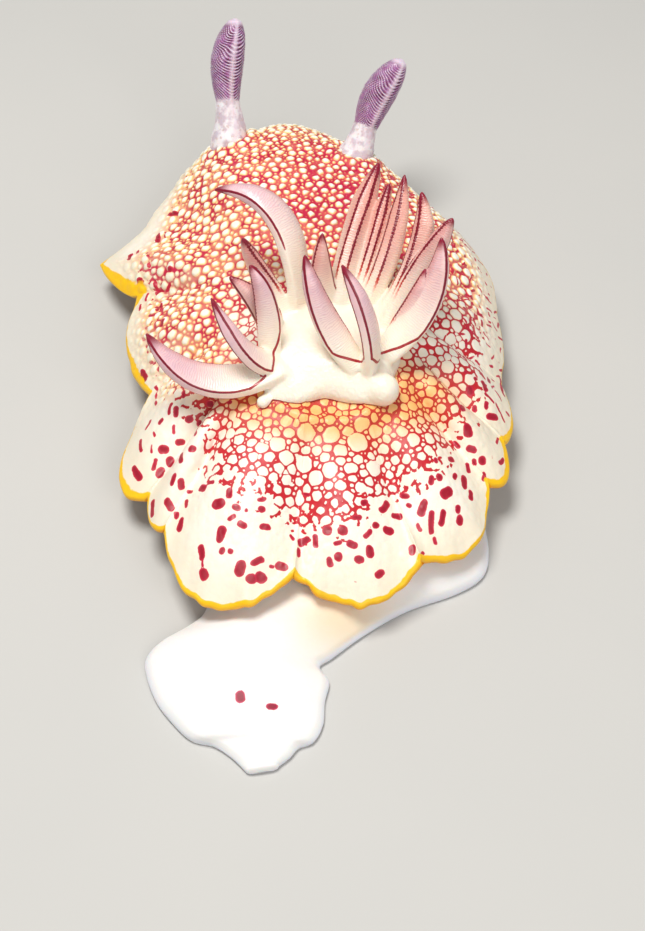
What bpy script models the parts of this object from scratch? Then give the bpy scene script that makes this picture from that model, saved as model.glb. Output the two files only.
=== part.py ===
"""Red-netted goniobranch: a sea slug crawling away, its foot trailing out behind it, life size.

The slug faces +Y, its right side is +X, and its flat sole lies on the floor at z = 0.
Sizes are in millimetres here and the meshes are made in metres.
"""

import math

import bmesh
import bpy
import numpy as np
from mathutils import Matrix, Vector

# Scale and clearances
MM = 0.001
GAP = 0.3
HALF_GAP = GAP / 2
SLAB_SIZE = 120.0

# The mantle is a dome drawn in bearings round one middle point. Bearing 0 is the slug's right side
# and bearing 90 is its head. Reach is a share of a plain oval.
MANTLE_MIDDLE = (-0.8, 6.3)
MANTLE_HALF_WIDTH = 16.5
MANTLE_HALF_LENGTH = 28.5
MANTLE_TOP = 11.6

# The margin runs in lobes from notch to notch. Each row is a notch, with its bearing, reach and
# height, and then the lobe that follows it: how far it bulges, how late it peaks and how far it droops.
MARGIN_LOBES = (
    ("right_shoulder", 10.0, 1.06, 4.0, 0.045, 0.8, 0.4),
    ("right_neck", 46.0, 0.96, 4.4, 0.00, 1.0, 0.4),
    ("head_right", 76.0, 0.97, 5.2, 0.02, 1.0, 0.2),
    ("head_left", 108.0, 1.09, 5.0, 0.03, 1.0, 0.4),
    ("left_shoulder", 138.0, 1.14, 4.8, 0.28, 2.9, 1.7),
    ("left_side", 166.5, 1.045, 4.8, 0.075, 1.3, 1.2),
    ("left_hip", 192.5, 0.915, 5.0, 0.15, 1.1, 1.4),
    ("left_tuck", 214.5, 1.06, 4.5, 0.05, 1.0, 0.8),
    ("rear_left", 223.6, 1.06, 4.9, 0.135, 0.9, 1.3),
    ("rear_middle", 264.3, 0.925, 5.7, 0.05, 1.0, 1.9),
    ("rear_right", 302.5, 1.02, 5.3, 0.085, 1.2, 1.6),
    ("right_hip", 328.9, 1.085, 4.8, 0.07, 1.0, 1.1),
    ("right_tuck", 339.5, 1.10, 4.6, 0.055, 1.0, 1.0),
    ("right_side", 352.0, 1.05, 4.4, 0.015, 1.0, 0.5),
)
# A lobe that peaks later than this comes to a point.
POINTED_FROM = 2.0

# The back inside the margin follows this plainer outline; the lobes take over towards the edge.
PLAIN_REACH = ((10, 1.06), (46, 0.99), (76, 0.97), (108, 1.09), (138, 1.10), (166, 1.05), (192, 0.98),
               (214, 1.05), (238, 1.07), (264, 0.95), (302, 1.01), (330, 1.08))
LOBE_ONSET = 2.5

# How full the dome is towards each bearing: a low power slopes evenly, a high one drops at the edge.
DOME_POWER = ((0, 3.6), (45, 4.6), (90, 5.5), (125, 5.5), (150, 2.8), (180, 2.6), (225, 2.4),
              (270, 2.1), (310, 2.3), (340, 2.9))
# How strongly the margin is ruffled towards each bearing
RUFFLE = ((0, 0.4), (60, 0.0), (130, 0.0), (150, 0.6), (180, 0.8), (225, 0.9), (270, 1.0),
          (320, 1.0), (345, 0.7))
RUFFLE_START = 0.5
VALLEY_DEPTH = 1.5
LOBE_PUFF = 0.7

# Thickness of the mantle and the flanks beneath it, as shares of the margin's reach
MARGIN_THICK = 1.0
SKIRT_THICK = 1.9
SKIRT_ROOT = 0.72
SEAM_SHARE = 0.70
SEAM_INSET = 0.011
SEAM_STEP = 3
SECTOR_OUTER_SHARE = 1.2
FLANK = ((0, 0.60), (40, 0.60), (62, 0.70), (90, 0.82), (110, 0.80), (126, 0.64), (150, 0.59),
         (180, 0.60), (225, 0.58), (270, 0.60), (315, 0.58))
TOP_SHARES = (0.12, 0.25, 0.37, 0.48, 0.58, 0.67, 0.75, 0.83, 0.90, 0.955, 0.988)
UNDER_EDGE_SHARE = 0.985
UNDER_STEPS = (1.0, 0.72, 0.44, 0.2, 0.0)
UNDER_SMOOTHING = (-16, -12, -8, -4, 0, 4, 8, 12, 16)
ARMPIT = 0.03
WALL_SHARE = 0.72
BODY_FLOOR = 0.9

# The skirt behind the head is parted at notches of the margin, from bearing to bearing.
SKIRT_SECTORS = (("skirt_left_front", 100.0, 166.5), ("skirt_left", 166.5, 192.5),
                 ("skirt_left_rear", 192.5, 223.6), ("skirt_rear_left", 223.6, 264.3),
                 ("skirt_rear_middle", 264.3, 302.5), ("skirt_rear_right", 302.5, 328.9),
                 ("skirt_right_rear", 328.9, 370.0), ("skirt_right_front", 370.0, 430.0))

# The head turns a little to the right: its line crosses the body here, square to the head's axis.
HEAD_TURN = -13.0
NECK_POINT = (-2.0, 24.5)
WAIST_Y = 8.5

# The foot and tail: pairs of points on the left and right margins, from front to tip, with the
# height of the crown between them.
FOOT_STATIONS = (
    ((-4.9, 34.0), (2.6, 32.3), 1.15),
    ((-7.7, 33.0), (5.2, 30.4), 1.2),
    ((-9.7, 30.8), (7.6, 27.2), 1.2),
    ((-10.9, 26.6), (9.2, 22.6), 1.4),
    ((-11.6, 19.4), (10.4, 16.6), 2.2),
    ((-12.0, 11.0), (11.6, 10.0), 2.9),
    ((-12.2, 3.0), (12.6, 3.0), 3.1),
    ((-11.8, -4.0), (13.4, -4.0), 3.2),
    ((-10.8, -10.0), (14.1, -9.4), 3.3),
    ((-10.2, -14.0), (14.5, -13.6), 3.4),
    ((-9.9, -17.0), (13.9, -16.4), 3.4),
    ((-9.8, -19.2), (11.6, -18.2), 3.2),
    ((-10.3, -20.8), (7.4, -20.0), 3.0),
    ((-11.8, -22.2), (3.8, -22.4), 2.8),
    ((-13.8, -23.6), (0.9, -24.9), 2.7),
    ((-14.8, -25.2), (-0.2, -25.9), 2.6),
    ((-14.6, -27.0), (0.55, -27.4), 2.5),
    ((-13.7, -29.4), (0.2, -29.4), 2.3),
    ((-12.4, -31.3), (0.05, -31.6), 2.1),
    ((-10.8, -33.0), (-0.7, -33.2), 1.8),
    ((-8.9, -33.6), (-1.9, -33.8), 1.5),
    ((-7.4, -34.7), (-2.6, -34.7), 1.2),
    ((-6.2, -36.2), (-3.5, -35.7), 0.9),
)
FOOT_EDGE_ROUND = 0.35
FOOT_EDGE_TOP = 0.8
FOOT_CROWN_POWER = 2.4
FOOT_PARTS = (("foot_front", 0.0, 4.0), ("foot_middle", 4.0, 8.0), ("foot_rear", 8.0, 12.6),
              ("tail", 12.6, 22.0))

# Head: snout, mouth and oral tentacles below the front of the mantle
SNOUT_CENTRE = (-1.7, 29.6, 2.9)
SNOUT_RADII = (4.6, 4.1, 1.3)
LIP_CENTRE = (-0.8, 33.35, 2.75)
LIP_RADIUS = 0.85
LIP_THICK = 0.4
LIP_ROOT = 1.2
MOUTH_RADIUS = 0.5
MOUTH_DEPTH = 1.2
TENTACLE_ROOTS = (("oral_tentacle_left", (-5.1, 32.0, 2.8), 42.0),
                  ("oral_tentacle_right", (3.0, 30.1, 2.8), -62.0))
TENTACLE_LENGTH = 3.4
TENTACLE_RADIUS = 0.8
TENTACLE_TIP_RADIUS = 0.3
TENTACLE_DIP = -0.05
TENTACLE_STEPS = (-0.25, 0.0, 0.35, 0.7, 0.92, 1.0)

# Rhinophores: foot of the stalk and tip of the club
RHINOPHORES = (("rhinophore_left", (-9.1, 30.6, 8.7), (-8.4, 37.6, 18.0)),
               ("rhinophore_right", (3.0, 27.7, 8.9), (7.6, 33.2, 16.6)))
STALK_RADIUS = 1.4
STALK_SHARE = 0.32
CLUB_RADIUS = 1.68
CLUB_PROFILE = ((0.0, 0.70), (0.17, 0.84), (0.35, 0.96), (0.52, 1.0), (0.70, 0.92), (0.82, 0.77),
                (0.92, 0.56), (0.97, 0.36), (1.0, 0.08))
CLUB_BOW = (-0.6, 0.0, 0.0)
BOW_START = 0.15
CLUB_LEAVED = 0.93
CLUB_SHOULDER = 0.97
LAMELLA_COUNT = 9
LAMELLA_DEPTH = 0.82
LAMELLA_SLANT = -0.45
RHINOPHORE_SIDES = 12
SOCKET_DEPTH = 1.1
SOCKET_REACH = 6.0
SHEATH_RADIUS = 2.2
SHEATH_HEIGHT = 0.55
SHEATH_WIDTH = 0.8

# The plume of gills stands in a pocket on the back.
PLUME_CENTRE = (0.7, -0.1)
PLUME_RADIUS = 6.1
POCKET_FLOOR = 9.7
POCKET_REACH = 20.0
POCKET_RIM_HEIGHT = 0.35
CUP_TOP = 13.4
CUP_TOP_CENTRE = (0.6, 0.5)
CUP_TOP_RADII = (5.8, 5.3)
CUP_SIDES = 28
BULB_CENTRE = (4.8, -4.1, 12.15)
BULB_RADIUS = 1.35

# Gills, each with its root and its tip measured from the middle of the cup's top, how its middle bows
# away from a straight line, the bearing its keel faces, its width, and its thickness in the middle,
# at the keel and at the inner edge.
GILLS = (
    ("end_left", (-5.2, -2.2, -1.3), (-6.8, 0.8, 7.1), (0.5, 0.5, 0.9), 359, 2.1, 1.3, 0.60, 0.55),
    ("near_left", (-4.5, -2.4, -1.3), (-10.0, -1.6, 5.6), (0.2, -1.7, -0.9), 270, 2.5, 1.4, 0.90, 0.56),
    ("long_left", (-4.1, -3.2, -1.2), (-15.6, -2.7, 2.4), (-0.9, -1.6, -1.9), 248, 3.4, 1.4, 0.90, 0.70),
    ("low_left", (-5.0, 1.2, -1.2), (-8.6, 1.4, 5.1), (0.8, -0.5, 0.4), 204, 2.4, 1.4, 0.55, 0.60),
    ("side_left", (-4.0, 2.9, -1.1), (-7.5, 5.1, 6.1), (-0.3, 1.0, -0.4), 151, 2.3, 1.4, 0.70, 0.50),
    ("arched_left", (-2.6, 3.7, -1.1), (-10.1, 11.2, 6.1), (1.9, 1.1, 3.0), 245, 3.2, 1.5, 0.85, 0.58),
    ("front_short", (-0.2, 3.8, -1.3), (-0.6, 5.7, 6.1), (-0.3, -0.3, 0.0), 12, 2.2, 1.4, 0.70, 0.59),
    ("front_long", (0.9, 3.9, -1.3), (4.4, 13.6, 7.1), (-0.6, -0.7, 0.0), 73, 2.9, 2.3, 0.64, 0.85),
    ("front_hidden", (2.0, 4.1, -1.2), (5.3, 11.5, 6.6), (0.2, 0.0, 0.2), 75, 2.0, 1.6, 0.60, 0.60),
    ("front_right", (2.8, 3.6, -1.1), (6.6, 11.5, 7.6), (0.6, -1.0, -0.3), 53, 2.5, 2.0, 0.56, 0.85),
    ("side_right", (4.4, 2.3, -1.3), (8.0, 9.3, 7.6), (1.5, -0.2, 0.1), 42, 3.0, 2.2, 0.58, 0.58),
    ("far_right", (5.2, 0.5, -1.3), (10.6, 6.0, 7.6), (0.6, 1.2, 0.7), 12, 2.6, 1.4, 0.75, 0.56),
    ("low_right", (5.0, -0.7, -1.2), (8.2, 1.9, 5.6), (0.4, 0.0, 0.0), 350, 1.8, 1.4, 0.60, 0.55),
    ("broad_right", (4.7, -1.9, -1.0), (9.5, 3.1, 8.1), (1.4, 0.0, -0.2), 328, 2.8, 1.4, 0.55, 0.60),
    ("near_right", (3.4, -3.4, -1.2), (1.0, -0.2, 8.1), (1.1, -0.7, -0.2), 254, 2.8, 1.5, 0.80, 0.65),
    ("end_right", (2.5, -3.6, -1.0), (-2.1, 0.5, 8.6), (-0.7, -0.1, -0.2), 215, 2.5, 1.4, 0.63, 0.60),
)
GILL_STATIONS = 8
GILL_ROOT_SHIFT = 0.25
GILL_ROOT_SINK = 0.9
GILL_WIDTHS = ((0.0, 0.85), (0.15, 0.95), (0.3, 1.0), (0.45, 0.93), (0.6, 0.80), (0.75, 0.62), (0.88, 0.40),
               (0.96, 0.22), (1.0, 0.08))

# Finish of each part: colour, roughness
FINISHES = {
    "mantle": ((0.90, 0.70, 0.64, 1.0), 0.35),
    "foot": ((0.93, 0.92, 0.90, 1.0), 0.4),
    "gill": ((0.86, 0.52, 0.55, 1.0), 0.35),
    "rhinophore": ((0.52, 0.36, 0.52, 1.0), 0.4),
}


def clear_scene():
    """Remove what the start-up scene holds."""
    for thing in list(bpy.data.objects):
        bpy.data.objects.remove(thing, do_unlink=True)


def new_collection(name):
    collection = bpy.data.collections.new(name)
    bpy.context.scene.collection.children.link(collection)
    return collection


def make_material(name, colour, roughness):
    material = bpy.data.materials.new(name)
    material.use_nodes = True
    shader = material.node_tree.nodes["Principled BSDF"]
    shader.inputs["Base Color"].default_value = colour
    shader.inputs["Roughness"].default_value = roughness
    return material


def smooth_step(value):
    """Ease from 0 to 1 as the value goes from 0 to 1."""
    t = np.clip(value, 0.0, 1.0)
    return t * t * (3 - 2 * t)


def round_curve(table, bearing):
    """Read a smooth closed curve through (bearing, value) rows."""
    xs = np.array([row[0] for row in table], float)
    ys = np.array([row[1] for row in table], float)
    xs = np.concatenate([xs - 360, xs, xs + 360])
    ys = np.tile(ys, 3)
    slopes = np.gradient(ys, xs)
    angle = np.asarray(bearing, float) % 360
    i = np.clip(np.searchsorted(xs, angle, side="right") - 1, 0, len(xs) - 2)
    span = xs[i + 1] - xs[i]
    t = (angle - xs[i]) / span
    value = ys[i] * (1 + 2 * t) * (1 - t) ** 2 + ys[i + 1] * t * t * (3 - 2 * t)
    return value + span * (slopes[i] * t * (1 - t) ** 2 - slopes[i + 1] * t * t * (1 - t))


def margin(bearing):
    """Reach, height and lobe fullness of the mantle's margin at a bearing."""
    starts = np.array([row[1] for row in MARGIN_LOBES] + [MARGIN_LOBES[0][1] + 360])
    reaches = np.array([row[2] for row in MARGIN_LOBES])
    heights = np.array([row[3] for row in MARGIN_LOBES])
    bulges = np.array([row[4] for row in MARGIN_LOBES])
    lateness = np.array([row[5] for row in MARGIN_LOBES])
    droops = np.array([row[6] for row in MARGIN_LOBES])
    angle = (np.asarray(bearing, float) - starts[0]) % 360 + starts[0]
    i = np.clip(np.searchsorted(starts, angle, side="right") - 1, 0, len(MARGIN_LOBES) - 1)
    following = (i + 1) % len(MARGIN_LOBES)
    t = (angle - starts[i]) / (starts[i + 1] - starts[i])
    phase = t ** lateness[i]
    wave = np.clip(np.sin(np.pi * phase), 0, 1)
    fullness = wave ** 0.5
    peak = np.where(lateness[i] > POINTED_FROM, 0.75 * (1 - np.abs(2 * phase - 1)) + 0.25 * wave, wave)
    reach = reaches[i] + (reaches[following] - reaches[i]) * smooth_step(t) + bulges[i] * peak ** 0.8
    height = heights[i] + (heights[following] - heights[i]) * smooth_step(t) - droops[i] * fullness
    return reach, height, fullness


def mantle_top(bearing, share):
    """Points on the upper skin of the mantle."""
    bearing = np.asarray(bearing, float)
    share = np.asarray(share, float)
    reach, edge, fullness = margin(bearing)
    plain = round_curve(PLAIN_REACH, bearing)
    reach = plain + (reach - plain) * share ** LOBE_ONSET
    angle = np.radians(bearing)
    x = MANTLE_MIDDLE[0] + MANTLE_HALF_WIDTH * reach * share * np.cos(angle)
    y = MANTLE_MIDDLE[1] + MANTLE_HALF_LENGTH * reach * share * np.sin(angle)
    dome = 1 - share ** round_curve(DOME_POWER, bearing)
    ruffle = np.clip(round_curve(RUFFLE, bearing), 0, 1)
    along = np.clip((share - RUFFLE_START) / (1 - RUFFLE_START), 0, 1)
    hump = np.sin(np.pi * along) ** 1.5
    z = edge + (MANTLE_TOP - edge) * dome
    z = z + ruffle * hump * (LOBE_PUFF * fullness - VALLEY_DEPTH * (1 - fullness))
    for _, foot_point, _ in RHINOPHORES:
        distance = np.hypot(x - foot_point[0], y - foot_point[1])
        z = z + SHEATH_HEIGHT * np.exp(-((distance - SHEATH_RADIUS) / SHEATH_WIDTH) ** 2)
    rim = np.hypot(x - PLUME_CENTRE[0], y - PLUME_CENTRE[1]) / PLUME_RADIUS
    z = z + POCKET_RIM_HEIGHT * np.exp(-((rim - 1.15) / 0.12) ** 2)
    return np.stack([x, y, z], axis=-1)


def mantle_normal(bearing, share):
    """Unit normals of the upper skin, pointing up and out."""
    step_angle, step_share = 0.5, 0.004
    inner = np.minimum(share, 1 - step_share)
    across = mantle_top(bearing + step_angle, share) - mantle_top(bearing - step_angle, share)
    outward = mantle_top(bearing, inner + step_share) - mantle_top(bearing, inner - step_share)
    normal = np.cross(outward, across)
    return normal / np.linalg.norm(normal, axis=-1, keepdims=True)


def skirt_thickness(points, share):
    """Thickness of the mantle, thicker towards the body and under the rhinophores."""
    thick = MARGIN_THICK + (SKIRT_THICK - MARGIN_THICK) * (1 - share) / (1 - SKIRT_ROOT)
    for _, foot_point, _ in RHINOPHORES:
        distance = np.hypot(points[..., 0] - foot_point[0], points[..., 1] - foot_point[1])
        thick = thick + 1.2 * np.exp(-(distance / 3.0) ** 2)
    return thick


def mantle_under(bearing, share):
    """Points on the underside of the mantle's skirt, straight below an evened-out upper skin."""
    top = mantle_top(bearing, share)
    thick = skirt_thickness(top, share)
    normal = sum(mantle_normal(bearing + offset, share) for offset in UNDER_SMOOTHING)
    normal = normal / np.linalg.norm(normal, axis=-1, keepdims=True)
    return top - normal * thick[..., None]


def lobe_bearings():
    """Bearings round the margin, closer together near each notch."""
    starts = [row[1] for row in MARGIN_LOBES] + [MARGIN_LOBES[0][1] + 360]
    bearings = []
    for first, last in zip(starts[:-1], starts[1:]):
        steps = max(3, round((last - first) / 5.5))
        for k in range(steps):
            share = 0.5 - 0.5 * math.cos(math.pi * k / steps)
            bearings.append(first + (last - first) * (0.5 * share + 0.5 * k / steps))
    return np.array(bearings)


def finished_mesh(name, work, collection):
    """Turn the faces outwards and put the mesh into an object of its own."""
    bmesh.ops.recalc_face_normals(work, faces=work.faces)
    mesh = bpy.data.meshes.new(name)
    work.to_mesh(mesh)
    work.free()
    thing = bpy.data.objects.new(name, mesh)
    collection.objects.link(thing)
    return thing


def mesh_object(name, points, faces, collection):
    """A closed mesh object from points in millimetres."""
    work = bmesh.new()
    corners = [work.verts.new(Vector(point) * MM) for point in np.asarray(points, float)]
    for face in faces:
        work.faces.new([corners[k] for k in face])
    return finished_mesh(name, work, collection)


def loft(name, rings, collection, fan_start=True, fan_end=True):
    """Join rings of equal length into a closed body, its ends closed by fans or by flat faces."""
    count = len(rings[0])
    points = [point for ring in rings for point in ring]
    faces = []
    for level in range(len(rings) - 1):
        low, high = level * count, (level + 1) * count
        for k in range(count):
            following = (k + 1) % count
            faces.append((low + k, low + following, high + following, high + k))
    for ring, fan, base in ((rings[0], fan_start, 0), (rings[-1], fan_end, (len(rings) - 1) * count)):
        if fan:
            points.append(np.mean(ring, axis=0))
            hub = len(points) - 1
            for k in range(count):
                faces.append((base + k, base + (k + 1) % count, hub))
        else:
            faces.append(tuple(base + k for k in range(count)))
    return mesh_object(name, points, faces, collection)


def largest_body(thing):
    """Keep only the largest closed surface of a mesh."""
    work = bmesh.new()
    work.from_mesh(thing.data)
    unseen = set(work.faces)
    bodies = []
    while unseen:
        start = unseen.pop()
        body, edge_of_body = [start], [start]
        while edge_of_body:
            face = edge_of_body.pop()
            for edge in face.edges:
                for neighbour in edge.link_faces:
                    if neighbour in unseen:
                        unseen.remove(neighbour)
                        body.append(neighbour)
                        edge_of_body.append(neighbour)
        bodies.append(body)

    def volume(body):
        total = 0.0
        for face in body:
            corner = face.verts[0].co
            for first, second in zip(face.verts[1:-1], face.verts[2:]):
                total += corner.dot(first.co.cross(second.co)) / 6
        return abs(total)

    bodies.sort(key=volume)
    scraps = [face for body in bodies[:-1] for face in body]
    bmesh.ops.delete(work, geom=scraps, context="FACES")
    work.to_mesh(thing.data)
    work.free()


def combine(thing, operation, other, solver="EXACT"):
    """Apply one Boolean with an object, or with every object of a collection."""
    step = thing.modifiers.new("combine", "BOOLEAN")
    step.operation = operation
    step.solver = solver
    if isinstance(other, bpy.types.Collection):
        step.operand_type = "COLLECTION"
        step.collection = other
    else:
        step.object = other
    evaluated = thing.evaluated_get(bpy.context.evaluated_depsgraph_get())
    result = bpy.data.meshes.new_from_object(evaluated)
    thing.modifiers.clear()
    thing.data = result
    largest_body(thing)


def copy_object(thing, name, collection):
    twin = bpy.data.objects.new(name, thing.data.copy())
    collection.objects.link(twin)
    return twin


def prism(name, outline, low, high, collection):
    """An upright prism over a plan outline."""
    rings = [[(x, y, z) for x, y in outline] for z in (low, high)]
    return loft(name, rings, collection, fan_start=False, fan_end=False)


def slab(name, point, turn, front, collection):
    """A large block that lies in front of, or behind, an upright plane square to the body."""
    angle = math.radians(turn)
    ahead = Vector((-math.sin(angle), math.cos(angle), 0))
    side = 1 if front else -1
    centre = Vector((*point, 0)) + ahead * side * (HALF_GAP + SLAB_SIZE / 2)
    work = bmesh.new()
    bmesh.ops.create_cube(work, size=SLAB_SIZE * MM)
    bmesh.ops.rotate(work, verts=work.verts, matrix=Matrix.Rotation(angle, 3, "Z"))
    bmesh.ops.translate(work, verts=work.verts, vec=centre * MM)
    return finished_mesh(name, work, collection)


def rod(name, start, end, start_radius, end_radius, collection, sides=16):
    """A straight rod or cone between two points."""
    start, end = Vector(start), Vector(end)
    axis = end - start
    work = bmesh.new()
    bmesh.ops.create_cone(work, cap_ends=True, segments=sides, radius1=start_radius * MM,
                          radius2=end_radius * MM, depth=axis.length * MM)
    turn = axis.to_track_quat("Z", "Y").to_matrix()
    bmesh.ops.rotate(work, verts=work.verts, matrix=turn)
    bmesh.ops.translate(work, verts=work.verts, vec=(start + end) / 2 * MM)
    return finished_mesh(name, work, collection)


def seam_arc(first, last, share):
    """Plan outline along one share of the mantle, with the same points on both sides of the seam."""
    steps = set(range(0, 432, SEAM_STEP)) | {row[1] for row in SKIRT_SECTORS}
    inside = sorted(angle for angle in steps if first < angle < last)
    return mantle_top(np.array([first, *inside, last], float), share)[..., :2]


def whole_body(collection):
    """Mantle, flanks and belly as one closed body."""
    bearings = lobe_bearings()
    ones = np.ones(len(bearings))
    rings = [mantle_top(bearings, ones * share) for share in TOP_SHARES]
    edge = mantle_top(bearings, ones)
    edge_normal = mantle_normal(bearings, ones)
    rings.append(edge - edge_normal * MARGIN_THICK / 2)
    flank = round_curve(FLANK, bearings)
    armpit = flank + ARMPIT
    rings += [mantle_under(bearings, armpit + (UNDER_EDGE_SHARE - armpit) * step) for step in UNDER_STEPS]
    high_wall = mantle_top(bearings, flank)
    high_wall[:, 2] = rings[-1][:, 2] * WALL_SHARE
    low_wall = high_wall.copy()
    low_wall[:, 2] = BODY_FLOOR
    rings += [high_wall, low_wall]
    return loft("body", rings, collection)


def foot_section(station, grow=0.0):
    """One cross-section of the foot at a station number, which may lie between two rows."""
    index = min(int(station), len(FOOT_STATIONS) - 2)
    share = station - index
    first, second = FOOT_STATIONS[index], FOOT_STATIONS[index + 1]
    left = np.array(first[0]) * (1 - share) + np.array(second[0]) * share
    right = np.array(first[1]) * (1 - share) + np.array(second[1]) * share
    crown = first[2] * (1 - share) + second[2] * share
    middle = (left + right) / 2
    across = (right - left) / 2
    half = np.linalg.norm(across)
    across = across / half
    half = half + grow
    inset = min(0.4, half * 0.3)
    shoulder = half - inset * 0.4
    section = [(-half + inset, -grow), (-half, FOOT_EDGE_ROUND), (-shoulder, FOOT_EDGE_TOP + grow)]
    for side in (-0.82, -0.55, -0.27, 0.0, 0.27, 0.55, 0.82):
        rise = max(crown - FOOT_EDGE_TOP, 0.05) * (1 - abs(side) ** FOOT_CROWN_POWER)
        section.append((side * half, FOOT_EDGE_TOP + rise + grow))
    section += [(shoulder, FOOT_EDGE_TOP + grow), (half, FOOT_EDGE_ROUND), (half - inset, -grow)]
    return np.array([(*(middle + across * offset), height) for offset, height in section])


def shift_ring(ring, distance):
    """Move a foot section along the foot, square to its own plane."""
    across = ring[-1, :2] - ring[0, :2]
    across = across / np.linalg.norm(across)
    moved = ring.copy()
    moved[:, :2] += np.array([across[1], -across[0]]) * distance
    return moved


def foot_piece(name, first, last, collection, grow=0.0):
    """A length of the foot between two stations, with half of each joint's gap taken off."""
    stations = [first] + [k for k in range(math.floor(first) + 1, math.ceil(last))] + [last]
    rings = [foot_section(station, grow) for station in stations]
    if first > 0:
        rings[0] = shift_ring(rings[0], HALF_GAP)
    if last < len(FOOT_STATIONS) - 1:
        rings[-1] = shift_ring(rings[-1], -HALF_GAP)
    return loft(name, rings, collection, fan_start=False, fan_end=False)


def ball(name, centre, radii, collection, segments=20, rings=12):
    work = bmesh.new()
    bmesh.ops.create_uvsphere(work, u_segments=segments, v_segments=rings, radius=1.0)
    bmesh.ops.scale(work, verts=work.verts, vec=Vector(radii) * MM)
    bmesh.ops.translate(work, verts=work.verts, vec=Vector(centre) * MM)
    return finished_mesh(name, work, collection)


def axes_along(direction):
    """Two directions square to a given one and to each other."""
    direction = np.array(direction, float)
    direction = direction / np.linalg.norm(direction)
    aside = np.cross(direction, (0.0, 0.0, 1.0))
    if np.linalg.norm(aside) < 0.01:
        aside = np.array([1.0, 0.0, 0.0])
    aside = aside / np.linalg.norm(aside)
    return direction, aside, np.cross(aside, direction)


def ring_round(centre, direction, radius, sides, slant=0.0):
    """A circle of points round an axis, tilted by pushing one side along the axis."""
    direction, aside, upward = axes_along(direction)
    ring = []
    for k in range(sides):
        angle = 2 * math.pi * k / sides
        push = direction * slant * radius * math.sin(angle)
        ring.append(np.array(centre) + radius * (aside * math.cos(angle) + upward * math.sin(angle)) + push)
    return np.array(ring)


def tube(name, stops, collection, sides=12):
    """A closed tube through (centre, direction, radius) stops."""
    rings = [ring_round(centre, direction, radius, sides) for centre, direction, radius in stops]
    return loft(name, rings, collection)


def make_head(body, parts, tools):
    """The front of the mantle and body, with snout, lips, mouth and the rhinophores' sockets."""
    head = copy_object(body, "head", parts)
    combine(head, "INTERSECT", slab("head_side", NECK_POINT, HEAD_TURN, True, tools))
    snout = ball("snout", SNOUT_CENTRE, SNOUT_RADII, tools)
    combine(head, "UNION", snout)
    turn = math.radians(HEAD_TURN)
    ahead = np.array([-math.sin(turn), math.cos(turn), -0.25])
    ahead = ahead / np.linalg.norm(ahead)
    lips = np.array(LIP_CENTRE)
    front = lips + ahead * LIP_THICK
    combine(head, "UNION", rod("lip", lips - ahead * LIP_ROOT, front, LIP_RADIUS, LIP_RADIUS * 0.8, tools))
    mouth = rod("mouth", front - ahead * MOUTH_DEPTH, front + ahead * MOUTH_DEPTH,
                MOUTH_RADIUS * 0.6, MOUTH_RADIUS * 1.4, tools, sides=8)
    combine(head, "DIFFERENCE", mouth)
    for name, foot_point, tip in RHINOPHORES:
        axis = np.array(tip) - np.array(foot_point)
        axis = axis / np.linalg.norm(axis)
        bottom = np.array(foot_point) - axis * SOCKET_DEPTH
        socket = rod(name + "_socket", bottom, bottom + axis * SOCKET_REACH, STALK_RADIUS + GAP,
                     STALK_RADIUS + GAP, tools)
        combine(head, "DIFFERENCE", socket)
    combine(head, "DIFFERENCE", tools.objects["foot_clearance"])
    return head


def make_back(body, parts, tools):
    """The two lengths of the back, inside the skirt's seam."""
    inset = SEAM_SHARE - SEAM_INSET
    core = prism("core", seam_arc(0, 360, inset)[:-1], -5, 40, tools)
    behind_neck = slab("behind_neck", NECK_POINT, HEAD_TURN, False, tools)
    lengths = []
    for name, front in (("back_front", True), ("back_rear", False)):
        piece = copy_object(body, name, parts)
        combine(piece, "INTERSECT", core)
        combine(piece, "INTERSECT", behind_neck)
        combine(piece, "INTERSECT", slab(name + "_side", (0, WAIST_Y), 0, front, tools))
        combine(piece, "DIFFERENCE", tools.objects["foot_clearance"])
        lengths.append(piece)
    pocket = rod("pocket", (*PLUME_CENTRE, POCKET_FLOOR), (*PLUME_CENTRE, POCKET_FLOOR + POCKET_REACH),
                 PLUME_RADIUS + GAP, PLUME_RADIUS + GAP, tools, sides=CUP_SIDES)
    combine(lengths[1], "DIFFERENCE", pocket)
    return lengths


def sector_outline(first, last):
    """Plan outline of one sector of the skirt, between two bearings."""
    inset = SEAM_SHARE + SEAM_INSET
    inner = seam_arc(first, last, inset)
    outer = seam_arc(first, last, SECTOR_OUTER_SHARE)
    for arc in (inner, outer):
        start_side = arc[1] - arc[0]
        end_side = arc[-2] - arc[-1]
        arc[0] = arc[0] + start_side / np.linalg.norm(start_side) * HALF_GAP
        arc[-1] = arc[-1] + end_side / np.linalg.norm(end_side) * HALF_GAP
    return list(inner) + list(outer[::-1])


def make_skirts(body, parts, tools):
    """The skirt of the mantle behind the head, one node for each group of lobes."""
    behind_neck = tools.objects["behind_neck"]
    pieces = []
    for name, first, last in SKIRT_SECTORS:
        piece = copy_object(body, name, parts)
        combine(piece, "INTERSECT", prism(name + "_sector", sector_outline(first, last), -5, 40, tools))
        combine(piece, "INTERSECT", behind_neck)
        pieces.append(piece)
    return pieces


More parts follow.
